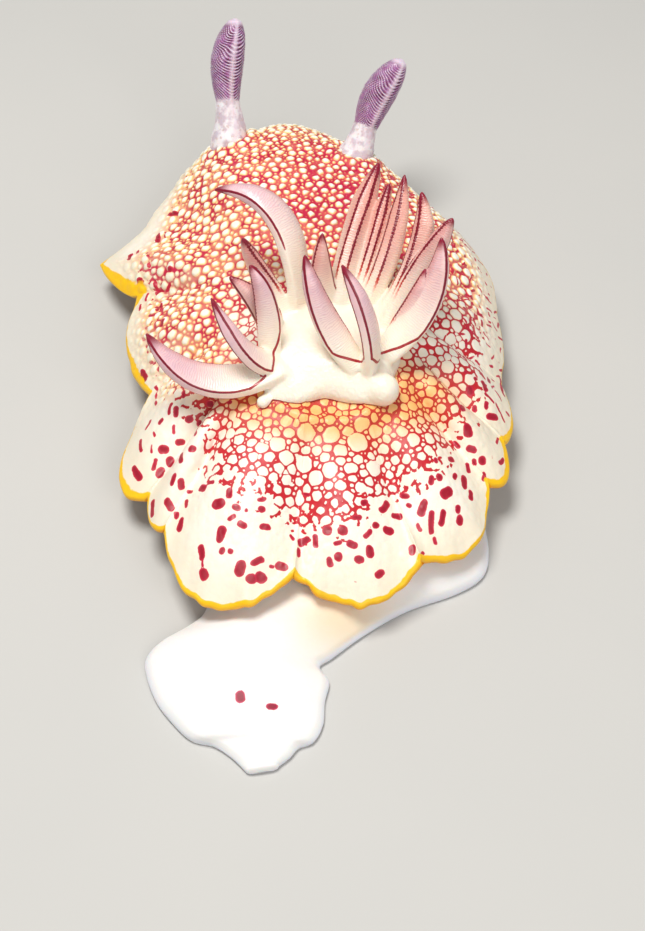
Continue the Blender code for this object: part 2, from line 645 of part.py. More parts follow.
def make_tentacles(parts, tools):
    """The two short feelers beside the mouth."""
    grown = ball("snout_clearance", SNOUT_CENTRE, [radius + GAP for radius in SNOUT_RADII], tools)
    feelers = []
    for name, root, turn in TENTACLE_ROOTS:
        angle = math.radians(turn)
        ahead = np.array([-math.sin(angle), math.cos(angle), TENTACLE_DIP])
        stops = []
        for share in TENTACLE_STEPS:
            radius = TENTACLE_RADIUS + (TENTACLE_TIP_RADIUS - TENTACLE_RADIUS) * max(share, 0)
            if share == 1.0:
                radius = TENTACLE_TIP_RADIUS * 0.5
            stops.append((np.array(root) + ahead * TENTACLE_LENGTH * share, ahead, radius))
        feeler = tube(name, stops, parts, sides=10)
        combine(feeler, "DIFFERENCE", grown)
        feelers.append(feeler)
    return feelers


def make_rhinophore(name, foot_point, tip, parts):
    """A stalk that carries a bowed club of stacked leaves."""
    foot_point, tip = np.array(foot_point), np.array(tip)
    axis = tip - foot_point
    length = np.linalg.norm(axis)
    axis = axis / length
    shares = np.array([row[0] for row in CLUB_PROFILE])
    radii = np.array([row[1] for row in CLUB_PROFILE]) * CLUB_RADIUS

    def on_line(share):
        bow = math.sin(math.pi * max(share - BOW_START, 0) / (1 - BOW_START))
        return foot_point + axis * length * share + np.array(CLUB_BOW) * bow

    def club_ring(share, depth, slant):
        centre = on_line(STALK_SHARE + (1 - STALK_SHARE) * share)
        return ring_round(centre, axis, np.interp(share, shares, radii) * depth, RHINOPHORE_SIDES, slant)

    start = foot_point - axis * (SOCKET_DEPTH - GAP)
    rings = [ring_round(start, axis, STALK_RADIUS, RHINOPHORE_SIDES),
             ring_round(foot_point + axis * 0.6, axis, STALK_RADIUS * 0.98, RHINOPHORE_SIDES),
             ring_round(on_line(STALK_SHARE), axis, STALK_RADIUS * 0.80, RHINOPHORE_SIDES)]
    for k in range(LAMELLA_COUNT):
        for step, depth in ((0.25, LAMELLA_DEPTH), (0.75, 1.0)):
            share = (k + step) / LAMELLA_COUNT * CLUB_LEAVED
            slant = LAMELLA_SLANT * min(1.0, 3 * share, 3 * (1 - share))
            rings.append(club_ring(share, depth, slant))
    rings.append(club_ring(CLUB_SHOULDER, 1.0, 0.0))
    rings.append(club_ring(1.0, 1.0, 0.0))
    return loft(name, rings, parts)


def gill_blade(name, root, tip, bow, facing, width, thicknesses, collection):
    """One gill: a tapering blade, thickest in the middle, with a narrow keel and inner edge."""
    top = np.array([*CUP_TOP_CENTRE, CUP_TOP])
    keel_angle = math.radians(facing)
    keel = np.array([math.cos(keel_angle), math.sin(keel_angle), 0.0])
    root = top + np.array(root)
    tip = top + np.array(tip)
    middle = (root + tip) / 2 + np.array(bow) * 2
    shares = np.array([row[0] for row in GILL_WIDTHS])
    widths = np.array([row[1] for row in GILL_WIDTHS])
    rings = []
    for k in range(GILL_STATIONS):
        t = k / (GILL_STATIONS - 1)
        centre = root * (1 - t) ** 2 + middle * 2 * t * (1 - t) + tip * t * t
        along = (middle - root) * (1 - t) + (tip - middle) * t
        along = along / np.linalg.norm(along)
        out = keel - along * keel.dot(along)
        out = out / np.linalg.norm(out)
        side = np.cross(along, out)
        wide = width * np.interp(t, shares, widths)
        thin = min(1.0, wide / (width * 0.6))
        belly, outer, inner = (thick * thin / 2 for thick in thicknesses)
        rings.append(np.array([
            centre + out * wide / 2 + side * outer,
            centre + out * wide / 2 - side * outer,
            centre - side * belly,
            centre - out * wide / 2 - side * inner,
            centre - out * wide / 2 + side * inner,
            centre + side * belly]))
    into_the_cup = (top - root) * GILL_ROOT_SHIFT
    into_the_cup[2] = -GILL_ROOT_SINK
    rings.insert(0, rings[0] + into_the_cup)
    return loft(name, rings, collection)


def make_plume(parts, tools):
    """The cup that stands in the pocket, with all its gills grown into it."""
    rows = ((POCKET_FLOOR + GAP, 0.0, 0.97), (POCKET_FLOOR + 1.2, 0.0, 1.0),
            (POCKET_FLOOR + 2.2, 0.5, 0.95), (CUP_TOP - 1.0, 1.0, 0.89), (CUP_TOP - 0.5, 1.0, 0.73),
            (CUP_TOP - 0.2, 1.0, 0.52), (CUP_TOP - 0.05, 1.0, 0.30))
    rings = []
    for height, blend, share in rows:
        centre = np.array(PLUME_CENTRE) * (1 - blend) + np.array(CUP_TOP_CENTRE) * blend
        radii = np.full(2, PLUME_RADIUS) * (1 - blend) + np.array(CUP_TOP_RADII) * blend
        rings.append([(centre[0] + radii[0] * share * math.cos(angle),
                       centre[1] + radii[1] * share * math.sin(angle), height)
                      for angle in np.linspace(0, 2 * math.pi, CUP_SIDES, endpoint=False)])
    plume = loft("gill_plume", rings, parts)
    grown = new_collection("grown together")
    ball("bulb", BULB_CENTRE, [BULB_RADIUS] * 3, grown, 14, 8)
    for name, root, tip, bow, facing, width, *thicknesses in GILLS:
        gill_blade(name, root, tip, bow, facing, width, thicknesses, grown)
    combine(plume, "UNION", grown)
    for thing in list(grown.objects):
        bpy.data.objects.remove(thing, do_unlink=True)
    bpy.data.collections.remove(grown)
    return plume


def main():
    clear_scene()
    parts = new_collection("red-netted goniobranch")
    tools = new_collection("cutters and guides")
    body = whole_body(tools)
    foot_piece("foot_clearance", 0.0, len(FOOT_STATIONS) - 1.0, tools, grow=GAP)
    finishes = {name: make_material(name, *values) for name, values in FINISHES.items()}
    groups = {"mantle": [], "foot": [], "gill": [], "rhinophore": []}
    groups["mantle"].append(make_head(body, parts, tools))
    groups["mantle"] += make_back(body, parts, tools)
    groups["mantle"] += make_skirts(body, parts, tools)
    groups["foot"] += make_tentacles(parts, tools)
    for name, first, last in FOOT_PARTS:
        groups["foot"].append(foot_piece(name, first, last, parts))
    for name, foot_point, tip in RHINOPHORES:
        groups["rhinophore"].append(make_rhinophore(name, foot_point, tip, parts))
    groups["gill"].append(make_plume(parts, tools))
    for finish, things in groups.items():
        for thing in things:
            thing.data.materials.clear()
            thing.data.materials.append(finishes[finish])
            thing.data.shade_smooth()
    for thing in tools.objects:
        thing.hide_render = True
        thing.display_type = "WIRE"


main()
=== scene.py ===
# %% [markdown]
# # Red-netted goniobranch, dressed
# This sea slug is about 74 mm long. It crawls away from us with its white tail trailing. The packed
# model gives every size and place, and this lesson puts living skin over it: a netted mantle with a
# yellow margin, a white foot, a plume of gills and two leafed rhinophores.
# The frame is loaded first, so each later step can be checked against it.

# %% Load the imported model
import heapq
import itertools
import math

import bpy
import numpy as np
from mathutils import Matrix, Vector
from mathutils.bvhtree import BVHTree
from mathutils.kdtree import KDTree


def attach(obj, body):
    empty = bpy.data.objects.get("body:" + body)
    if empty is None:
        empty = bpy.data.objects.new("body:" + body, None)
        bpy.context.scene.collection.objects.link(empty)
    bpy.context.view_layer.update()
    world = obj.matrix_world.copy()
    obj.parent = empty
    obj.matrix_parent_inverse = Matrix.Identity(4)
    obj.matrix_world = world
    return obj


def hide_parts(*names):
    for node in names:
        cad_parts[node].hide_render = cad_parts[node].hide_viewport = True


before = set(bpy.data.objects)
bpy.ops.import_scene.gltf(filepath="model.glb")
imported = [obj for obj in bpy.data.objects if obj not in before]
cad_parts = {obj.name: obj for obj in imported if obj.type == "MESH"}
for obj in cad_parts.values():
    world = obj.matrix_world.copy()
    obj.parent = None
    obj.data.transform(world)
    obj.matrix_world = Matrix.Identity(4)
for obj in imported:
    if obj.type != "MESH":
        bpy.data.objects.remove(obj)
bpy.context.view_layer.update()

MM = 0.001

# %% [markdown]
# ## The camera
# The photograph looks down on the animal from behind, about 50 degrees above the floor. A camera can
# be aimed with a constraint or by turning it once. It stands still here, so it is turned once.

# %% Camera
LOOK_AT = Vector((0.0, -10.0, 7.6)) * MM
LOOK_DOWN = math.radians(50)
LOOK_DISTANCE = 180 * MM
LENS = 81.2

camera_data = bpy.data.cameras.new("camera")
camera_data.lens = LENS
camera_data.clip_start = 0.01
camera = bpy.data.objects.new("camera", camera_data)
camera.location = LOOK_AT + Vector((0, -math.cos(LOOK_DOWN), math.sin(LOOK_DOWN))) * LOOK_DISTANCE
camera.rotation_euler = (math.pi / 2 - LOOK_DOWN, 0, 0)
bpy.context.scene.collection.objects.link(camera)
bpy.context.scene.camera = camera
print("camera at mm:", [round(v / MM, 1) for v in camera.location])

# %% [markdown]
# ## Helpers for meshes and finishes
# Fine skin has hundreds of thousands of points, so the meshes are filled from arrays. What the paint
# needs, such as the distance to the nearest line of the net, is worked out once for each point and
# kept as a named mark. A material then turns the mark into a crisp edge between the points.

# %% Mesh helpers
SEED = 41


def make_piece(name, points, faces, marks=None):
    """An object from points in millimetres, with one number per point for each mark."""
    mesh = bpy.data.meshes.new(name)
    mesh.from_pydata((np.asarray(points) * MM).tolist(), [], faces)
    for label, values in (marks or {}).items():
        layer = mesh.attributes.new(label, "FLOAT", "POINT")
        layer.data.foreach_set("value", np.asarray(values, np.float32))
    mesh.shade_smooth()
    piece = bpy.data.objects.new(name, mesh)
    bpy.context.scene.collection.objects.link(piece)
    print(name, "has", len(mesh.vertices), "points and", len(mesh.polygons), "faces")
    return piece


def smooth_step(value):
    """Ease from 0 to 1 as the value goes from 0 to 1."""
    t = np.clip(value, 0.0, 1.0)
    return t * t * (3 - 2 * t)


def round_curve(table, bearing):
    """Read a smooth closed curve through (bearing, value) rows."""
    xs = np.array([row[0] for row in table], float)
    ys = np.array([row[1] for row in table], float)
    xs = np.concatenate([xs - 360, xs, xs + 360])
    ys = np.tile(ys, 3)
    slopes = np.gradient(ys, xs)
    angle = np.asarray(bearing, float) % 360
    i = np.clip(np.searchsorted(xs, angle, side="right") - 1, 0, len(xs) - 2)
    span = xs[i + 1] - xs[i]
    t = (angle - xs[i]) / span
    value = ys[i] * (1 + 2 * t) * (1 - t) ** 2 + ys[i + 1] * t * t * (3 - 2 * t)
    return value + span * (slopes[i] * t * (1 - t) ** 2 - slopes[i + 1] * t * t * (1 - t))


def unit(vectors):
    return vectors / np.maximum(np.linalg.norm(vectors, axis=-1, keepdims=True), 1e-9)


def ripple(points, size, seed, waves=7):
    """Smooth noise from -1 to 1 whose bumps are about one size across, as a sum of slanting waves."""
    draw = np.random.default_rng(SEED + seed)
    total = np.zeros(len(points))
    for _ in range(waves):
        heading = unit(draw.normal(size=3)) * 2 * math.pi / (size * draw.uniform(1.3, 2.6))
        total += np.sin(points @ heading + draw.uniform(0, 2 * math.pi))
    return total / math.sqrt(waves) / 1.4


def loft_faces(levels, count, first=0):
    """Four-sided faces between rings of equal length, outside faces outwards as the rings go down."""
    faces = []
    for level in range(levels - 1):
        upper, lower = first + level * count, first + (level + 1) * count
        for k in range(count):
            after = (k + 1) % count
            faces.append((lower + k, lower + after, upper + after, upper + k))
    return faces


def tree_of(points):
    """A finder that tells which of the points is nearest to a place."""
    tree = KDTree(len(points))
    for number, point in enumerate(points.tolist()):
        tree.insert(point, number)
    tree.balance()
    return tree


# %% [markdown]
# Finishes are built from shader nodes. Each small helper below adds one kind of node and gives back
# its output, so that a material reads as a list of layers of paint, from the ground colour up.

# %% Finish helpers
class Finish:
    """A Principled material whose layers of paint are added one by one."""

    def __init__(self, name, roughness, glow=0.25, glow_reach=0.6, coat=0.15):
        self.material = bpy.data.materials.new(name)
        self.material.use_nodes = True
        self.tree = self.material.node_tree
        self.shader = self.tree.nodes["Principled BSDF"]
        self.shader.inputs["Roughness"].default_value = roughness
        self.shader.inputs["Subsurface Weight"].default_value = glow
        self.shader.inputs["Subsurface Radius"].default_value = (1.0, 0.55, 0.4)
        self.shader.inputs["Subsurface Scale"].default_value = glow_reach * MM
        self.shader.inputs["Coat Weight"].default_value = coat
        self.shader.inputs["Coat Roughness"].default_value = 0.12
        self.place = self.tree.nodes.new("ShaderNodeTexCoord").outputs["Object"]

    def feed(self, socket, value):
        if isinstance(value, (int, float, tuple)):
            socket.default_value = value
        else:
            self.tree.links.new(value, socket)

    def mark(self, label):
        node = self.tree.nodes.new("ShaderNodeAttribute")
        node.attribute_name = label
        return node.outputs["Fac"]

    def noise(self, size, detail=2.0):
        """Noise from 0 to 1 whose blotches are about one size in millimetres across."""
        node = self.tree.nodes.new("ShaderNodeTexNoise")
        node.inputs["Scale"].default_value = 1 / (size * MM)
        node.inputs["Detail"].default_value = detail
        self.feed(node.inputs["Vector"], self.place)
        return node.outputs["Fac"]

    def sum(self, operation, first, second=0.0, third=0.0):
        node = self.tree.nodes.new("ShaderNodeMath")
        node.operation = operation
        for socket, value in zip(node.inputs, (first, second, third)):
            self.feed(socket, value)
        return node.outputs[0]

    def ease(self, value, low, high, start=0.0, end=1.0):
        node = self.tree.nodes.new("ShaderNodeMapRange")
        node.interpolation_type = "SMOOTHSTEP"
        for socket, given in zip(node.inputs, (value, low, high, start, end)):
            self.feed(socket, given)
        return node.outputs["Result"]

    def mix(self, share, below, above):
        node = self.tree.nodes.new("ShaderNodeMix")
        node.data_type = "RGBA"
        colours = [socket for socket in node.inputs if socket.type == "RGBA"]
        self.feed(node.inputs[0], share)
        self.feed(colours[0], below)
        self.feed(colours[1], above)
        return [socket for socket in node.outputs if socket.type == "RGBA"][0]

    def times(self, first, second):
        return self.sum("MULTIPLY", first, second)

    def uneven(self, label, size, amount):
        """A mark shaken by noise, so that what is painted from it has an uneven edge."""
        shake = self.sum("MULTIPLY_ADD", self.noise(size), amount, -amount / 2)
        return self.sum("ADD", self.mark(label), shake)

    def mottle(self, size, first, second, low=None, high=None):
        """Two colours in blotches, which are crisper when the levels where they meet are given."""
        share = self.noise(size)
        if low is not None:
            share = self.ease(share, low, high)
        return self.mix(share, shade(*first), shade(*second))

    def bump(self, height, strength, depth):
        node = self.tree.nodes.new("ShaderNodeBump")
        node.inputs["Strength"].default_value = strength
        node.inputs["Distance"].default_value = depth * MM
        self.feed(node.inputs["Height"], height)
        self.tree.links.new(node.outputs["Normal"], self.shader.inputs["Normal"])

    def paint(self, colour):
        self.feed(self.shader.inputs["Base Color"], colour)
        return self.material


def shade(red, green, blue):
    """A colour given from 0 to 255 as the eye sees it, turned into the renderer's light."""
    values = [c / 255 for c in (red, green, blue)]
    return tuple(c / 12.92 if c <= 0.04045 else ((c + 0.055) / 1.055) ** 2.4 for c in values) + (1.0,)


# %% [markdown]
# ## The mantle's shape
# The mantle is a cloak of skin, domed over the back and hanging in lobes round its margin. It could
# be sculpted by hand, but a shape drawn in bearings round one middle point can be given the same
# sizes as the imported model. Bearing 0 is the slug's right side and bearing 90 is its head.

# %% Mantle tables
MANTLE_MIDDLE = (-0.8, 6.3)
MANTLE_HALF_WIDTH = 16.5
MANTLE_HALF_LENGTH = 28.5
MANTLE_TOP = 11.6

# Each row is a notch, with its bearing, reach and height, and then the lobe that follows it:
# how far it bulges, how late it peaks and how far it droops.
MARGIN_LOBES = (
    ("right_shoulder", 10.0, 1.06, 4.0, 0.045, 0.8, 0.4),
    ("right_neck", 46.0, 0.96, 4.4, 0.00, 1.0, 0.4),
    ("head_right", 76.0, 0.97, 5.2, 0.02, 1.0, 0.2),
    ("head_left", 108.0, 1.09, 5.0, 0.03, 1.0, 0.4),
    ("left_shoulder", 138.0, 1.14, 4.8, 0.28, 2.9, 1.7),
    ("left_side", 166.5, 1.045, 4.8, 0.075, 1.3, 1.2),
    ("left_hip", 192.5, 0.915, 5.0, 0.15, 1.1, 1.4),
    ("left_tuck", 214.5, 1.06, 4.5, 0.05, 1.0, 0.8),
    ("rear_left", 223.6, 1.06, 4.9, 0.135, 0.9, 1.3),
    ("rear_middle", 264.3, 0.925, 5.7, 0.05, 1.0, 1.9),
    ("rear_right", 302.5, 1.02, 5.3, 0.085, 1.2, 1.6),
    ("right_hip", 328.9, 1.085, 4.8, 0.07, 1.0, 1.1),
    ("right_tuck", 339.5, 1.10, 4.6, 0.055, 1.0, 1.0),
    ("right_side", 352.0, 1.05, 4.4, 0.015, 1.0, 0.5),
)
POINTED_FROM = 2.0       # a lobe that peaks later than this comes to a point
POINT_SHARE = 0.75       # how much of its shape is straight-sided
PEAK_POWER = 0.8
PLAIN_REACH = ((10, 1.06), (46, 0.99), (76, 0.97), (108, 1.09), (138, 1.10), (166, 1.05), (192, 0.98),
               (214, 1.05), (238, 1.07), (264, 0.95), (302, 1.01), (330, 1.08))
LOBE_ONSET = 2.5
DOME_POWER = ((0, 3.6), (45, 4.6), (90, 5.5), (125, 5.5), (150, 2.8), (180, 2.6), (225, 2.4),
              (270, 2.1), (310, 2.3), (340, 2.9))
RUFFLE = ((0, 0.4), (60, 0.0), (130, 0.0), (150, 0.6), (180, 0.8), (225, 0.9), (270, 1.0),
          (320, 1.0), (345, 0.7))
RUFFLE_START = 0.5
HUMP_POWER = 1.5
VALLEY_DEPTH = 1.5
VALLEY_FLOOR = 0.12      # how broad the rounded floor of a valley between two lobes is
LOBE_PUFF = 0.7
RHINOPHORES = (("rhinophore_left", (-9.1, 30.6, 8.7), (-8.4, 37.6, 18.0)),
               ("rhinophore_right", (3.0, 27.7, 8.9), (7.6, 33.2, 16.6)))
SHEATH_RADIUS = 2.2
SHEATH_HEIGHT = 0.55
SHEATH_WIDTH = 0.8
PLUME_CENTRE = (0.7, -0.1)
PLUME_RADIUS = 6.1
POCKET_RIM_HEIGHT = 0.35
POCKET_RIM_SHARE = 1.15
POCKET_RIM_WIDTH = 0.12

# Fine scallops along the living edge: waves round the whole margin, reach share and height in mm
SCALLOPS = ((23, 0.0035, 0.10), (37, 0.0030, 0.10), (58, 0.0018, 0.05), (83, 0.0010, 0.03))
SCALLOP_ONSET = 9
SCALLOP_LEAST = 0.35
STEP_ROUND = 0.5
STEP_OUT = 0.004
print("lobes on the margin:", len(MARGIN_LOBES))


# %% Mantle surface
def margin(bearing):
    """Reach, height and lobe fullness of the mantle's margin at a bearing."""
    starts = np.array([row[1] for row in MARGIN_LOBES] + [MARGIN_LOBES[0][1] + 360])
    reaches, heights, bulges, lateness, droops = (
        np.array([row[column] for row in MARGIN_LOBES]) for column in range(2, 7))
    angle = (np.asarray(bearing, float) - starts[0]) % 360 + starts[0]
    i = np.clip(np.searchsorted(starts, angle, side="right") - 1, 0, len(MARGIN_LOBES) - 1)
    following = (i + 1) % len(MARGIN_LOBES)
    t = (angle - starts[i]) / (starts[i + 1] - starts[i])
    phase = t ** lateness[i]
    wave = np.clip(np.sin(np.pi * phase), 0, 1)
    fullness = wave ** 0.5
    pointed = POINT_SHARE * (1 - np.abs(2 * phase - 1)) + (1 - POINT_SHARE) * wave
    peak = np.where(lateness[i] > POINTED_FROM, pointed, wave)
    ease = smooth_step(t)
    reach = reaches[i] + (reaches[following] - reaches[i]) * ease + bulges[i] * peak ** PEAK_POWER
    height = heights[i] + (heights[following] - heights[i]) * ease - droops[i] * fullness
    return reach, height, fullness


def mantle_top(bearing, share):
    """Points on the upper skin of the mantle, with the living edge's scallops."""
    reach, edge, fullness = margin(bearing)
    ruffle = np.clip(round_curve(RUFFLE, bearing), 0, 1)
    angle = np.radians(bearing)
    near_edge = share ** SCALLOP_ONSET * (SCALLOP_LEAST + (1 - SCALLOP_LEAST) * ruffle)
    for number, (waves, wide, high) in enumerate(SCALLOPS):
        reach = reach + wide * np.sin(angle * waves + number * 1.7) * near_edge
        edge = edge + high * np.sin(angle * waves + number * 2.9) * near_edge
    plain = round_curve(PLAIN_REACH, bearing)
    reach = plain + (reach - plain) * share ** LOBE_ONSET
    x = MANTLE_MIDDLE[0] + MANTLE_HALF_WIDTH * reach * share * np.cos(angle)
    y = MANTLE_MIDDLE[1] + MANTLE_HALF_LENGTH * reach * share * np.sin(angle)
    dome = 1 - share ** round_curve(DOME_POWER, bearing)
    along = np.clip((share - RUFFLE_START) / (1 - RUFFLE_START), 0, 1)
    hump = np.sin(np.pi * along) ** HUMP_POWER
    floor = VALLEY_FLOOR ** 0.5
    rounded = ((fullness ** 4 + VALLEY_FLOOR ** 2) ** 0.25 - floor) / (1 - floor)
    z = edge + (MANTLE_TOP - edge) * dome
    z = z + ruffle * hump * (LOBE_PUFF * rounded - VALLEY_DEPTH * (1 - rounded))
    for _, foot_point, _ in RHINOPHORES:
        distance = np.hypot(x - foot_point[0], y - foot_point[1])
        z = z + SHEATH_HEIGHT * np.exp(-((distance - SHEATH_RADIUS) / SHEATH_WIDTH) ** 2)
    rim = np.hypot(x - PLUME_CENTRE[0], y - PLUME_CENTRE[1]) / PLUME_RADIUS
    z = z + POCKET_RIM_HEIGHT * np.exp(-((rim - POCKET_RIM_SHARE) / POCKET_RIM_WIDTH) ** 2)
    return np.stack([x, y, z], axis=-1)


def mantle_normal(bearing, share):
    """Unit normals of the upper skin, pointing up and out."""
    inner = np.minimum(share, 1 - STEP_OUT)
    across = mantle_top(bearing + STEP_ROUND, share) - mantle_top(bearing - STEP_ROUND, share)
    outward = mantle_top(bearing, inner + STEP_OUT) - mantle_top(bearing, inner - STEP_OUT)
    return unit(np.cross(outward, across))


# %% [markdown]
# A net of lines finer than a quarter of a millimetre needs points about a tenth of a millimetre
# apart all over the back. Rings and spokes would crowd the middle and starve the edge. Here each ring
# has eight points more than the one inside it, which spreads them evenly.

# %% Even grid of the upper skin
RINGS = 250
BEAD_RADIUS = 0.42
edge_count = 8 * RINGS
edge_bearing = np.arange(edge_count) * 360 / edge_count
edge_length = np.linalg.norm(mantle_top(edge_bearing, np.ones(edge_count))
                             - mantle_top(edge_bearing, np.full(edge_count, 0.99)), axis=1) / 0.01

grid_bearing, grid_ring = [np.zeros(1)], [np.zeros(1)]
for ring in range(1, RINGS + 1):
    grid_bearing.append(np.arange(8 * ring) * 360 / (8 * ring))
    grid_ring.append(np.full(8 * ring, ring / RINGS))
grid_bearing, grid_ring = np.concatenate(grid_bearing), np.concatenate(grid_ring)
grid_length = np.interp(grid_bearing, np.append(edge_bearing, 360), np.append(edge_length, edge_length[0]))
grid_share = grid_ring * (1 - BEAD_RADIUS / grid_length)


def disk_faces():
    """Triangles between each ring and the next one out."""
    faces = [np.array([(1 + k, 1 + (k + 1) % 8, 0) for k in range(8)])]
    for ring in range(1, RINGS):
        inner_start, outer_start = 1 + 4 * ring * (ring - 1), 1 + 4 * (ring + 1) * ring
        inner_count, outer_count = 8 * ring, 8 * (ring + 1)
        side, step = np.divmod(np.arange(outer_count), ring + 1)
        outer = np.arange(outer_count)
        inner = (side * ring + step) % inner_count
        faces.append(np.stack([outer_start + outer, outer_start + (outer + 1) % outer_count,
                               inner_start + inner], axis=1))
        side, step = np.divmod(np.arange(inner_count), ring)
        outer = (side * (ring + 1) + step + 1) % outer_count
        inner = np.arange(inner_count)
        faces.append(np.stack([inner_start + inner, outer_start + outer,
                               inner_start + (inner + 1) % inner_count], axis=1))
    return np.concatenate(faces)


top_points = mantle_top(grid_bearing, grid_share)
top_faces = disk_faces()
print("upper skin:", len(top_points), "points; margin is", round(float(np.linalg.norm(np.diff(
    mantle_top(edge_bearing, np.ones(edge_count)), axis=0), axis=1).sum()), 1), "mm round")


# %% Normals of the grid
def point_normals(points, faces):
    corners = points[faces]
    flat = np.cross(corners[:, 1] - corners[:, 0], corners[:, 2] - corners[:, 0])
    total = np.zeros_like(points)
    for corner in range(3):
        for axis in range(3):
            total[:, axis] += np.bincount(faces[:, corner], flat[:, axis], minlength=len(points))
    return unit(total)


top_normals = point_normals(top_points, top_faces)
print("steepest skin faces", round(float(np.degrees(np.arccos(top_normals[:, 2].min())))), "degrees from up")

# %% [markdown]
# ## The net
# Crimson lines fence off rounded cream cells. The cells are small and raised on the front of the
# back, and a few behind the gills are twice as large. A cell texture gives straight-sided cells of one
# size. The real ones are round and of mixed sizes, so round cells are scattered first, large before
# small, and the lines are drawn where two neighbours are equally near.

# %% Scatter the cells
CELL_GAP = 0.07
CELL_CLASSES = ((1.0, 34000), (0.70, 34000), (0.45, 60000), (0.28, 60000))
BIG_CELLS_AT = (1.2, -9.3)
BIG_CELLS_REACH = (7.5, 3.4)
BIG_LEAST = 0.25
BIG_GROWTH = (0.12, 0.52)
BIG_TRIES = 900
CELL_RADIUS = 0.37
REAR_GROWTH = 0.05
BESIDE_GROWTH = 0.13
CELL_SPREAD = (0.84, 1.14)
CELL_BUCKET = 1.1
BUCKETS_ROUND = tuple(itertools.product((-1, 0, 1), repeat=3))


def cell_plan(points, draw):
    """Places to try and the radius of the cell at each, in mm, large cells first."""
    x, y = points[:, 0], points[:, 1]
    to_left = 0.7 * smooth_step((-x - 4) / 6)
    to_right = smooth_step((x - 6) / 5) * smooth_step((24 - y) / 8)
    beside = np.maximum(to_left, to_right)
    size = (CELL_RADIUS + REAR_GROWTH * smooth_step((6 - y) / 12)
            + BESIDE_GROWTH * beside * smooth_step((y + 7) / 6))
    big = np.exp(-((x - BIG_CELLS_AT[0]) / BIG_CELLS_REACH[0]) ** 2
                 - ((y - BIG_CELLS_AT[1]) / BIG_CELLS_REACH[1]) ** 2)
    chosen = draw.choice(len(points), BIG_TRIES, replace=False)
    chosen = chosen[big[chosen] > BIG_LEAST]
    yield chosen, size[chosen] + big[chosen] * draw.uniform(*BIG_GROWTH, len(chosen))
    for factor, tries in CELL_CLASSES:
        chosen = draw.choice(len(points), tries, replace=False)
        yield chosen, size[chosen] * factor * draw.uniform(*CELL_SPREAD, tries)


def is_free(buckets, home, place, radius):
    """Whether a new cell keeps clear of all the cells in the buckets round its own."""
    x, y, z = place
    for step in BUCKETS_ROUND:
        for px, py, pz, other in buckets.get((home[0] + step[0], home[1] + step[1], home[2] + step[2]), ()):
            apart = radius + other + CELL_GAP
            if (px - x) ** 2 + (py - y) ** 2 + (pz - z) ** 2 < apart * apart:
                return False
    return True


def scatter_cells(points):
    buckets, centres, radii = {}, [], []
    for chosen, sizes in cell_plan(points, np.random.default_rng(SEED)):
        for place, radius in zip(points[chosen].tolist(), sizes.tolist()):
            home = tuple(int(value // CELL_BUCKET) for value in place)
            if is_free(buckets, home, place, radius):
                buckets.setdefault(home, []).append((*place, radius))
                centres.append(place)
                radii.append(radius)
    return np.array(centres), np.array(radii)


cell_centres, cell_radii = scatter_cells(top_points)
print("cells:", len(cell_centres), "radius", round(float(cell_radii.min()), 2), "to",
      round(float(cell_radii.max()), 2), "mm")

# %% Distance of every point from the lines
LINE_HALF = 0.082
LINE_DARK = 0.050
DARK_AT = (2.0, 20.5)
DARK_REACH = (9.0, 10.0)
LINE_UNEVEN = 0.42
CELL_SWELL = 0.12
NEIGHBOURS = 14
WARP = 0.08
WARP_SIZE = 0.7


def shake(points, first_seed):
    """Smooth noise in all three directions, to make drawn edges uneven."""
    return np.stack([ripple(points, WARP_SIZE, first_seed + k) for k in range(3)], axis=1)


warped = top_points + WARP * shake(top_points, 1)
cell_tree = tree_of(cell_centres)
near_cell = np.zeros((len(top_points), NEIGHBOURS), int)
near_gap = np.zeros((len(top_points), NEIGHBOURS))
for number, point in enumerate(warped.tolist()):
    found = cell_tree.find_n(point, NEIGHBOURS)
    near_cell[number] = [hit[1] for hit in found]
    near_gap[number] = [hit[2] for hit in found]
near_gap -= cell_radii[near_cell]
order = np.argsort(near_gap, axis=1)[:, :2]
rows = np.arange(len(top_points))
first_gap, second_gap = near_gap[rows, order[:, 0]], near_gap[rows, order[:, 1]]
first_cell, second_cell = near_cell[rows, order[:, 0]], near_cell[rows, order[:, 1]]
inside = np.minimum((second_gap - first_gap) / 2, CELL_SWELL - first_gap)
dark = np.exp(-(((top_points[:, :2] - DARK_AT) / DARK_REACH) ** 2).sum(axis=1))
line_half = (LINE_HALF + LINE_DARK * dark) * (1 + LINE_UNEVEN * ripple(top_points, 1.2, 5))
print("share of the skin under the net:", round(float((inside < line_half).mean()), 2))

# %% [markdown]
# Towards the margin the net breaks into strokes and then into separate spots. Each side of a cell
# gets one random number, and where the skin is nearer the margin, more of them are left out.

# %% Where the net breaks up
NET_END = ((6, 0.90), (17, 0.90), (38, 0.92), (60, 0.98), (120, 0.99), (138, 0.97), (146, 0.92), (154, 0.88),
           (166, 0.92), (181, 0.94), (192, 0.92), (204, 0.80), (217, 0.74), (224, 0.78), (233, 0.80),
           (248, 0.79), (259, 0.84), (265, 0.90), (273, 0.88), (284, 0.87), (297, 0.83), (310, 0.85),
           (322, 0.85), (336, 0.87), (346, 0.90), (356, 0.92))
BREAK_WIDTH = 0.14
SWELL_WIDTH = 0.2
STROKE_SWELL = 0.9
SIDE_FADE = 0.06
LEFT_OUT = 0.25

# These three only stir a pair of cell numbers into one number from 0 to 1, the same on each run.
STIR_LOW, STIR_HIGH, STIR_ALL = 12.9898, 78.233, 43758.5453

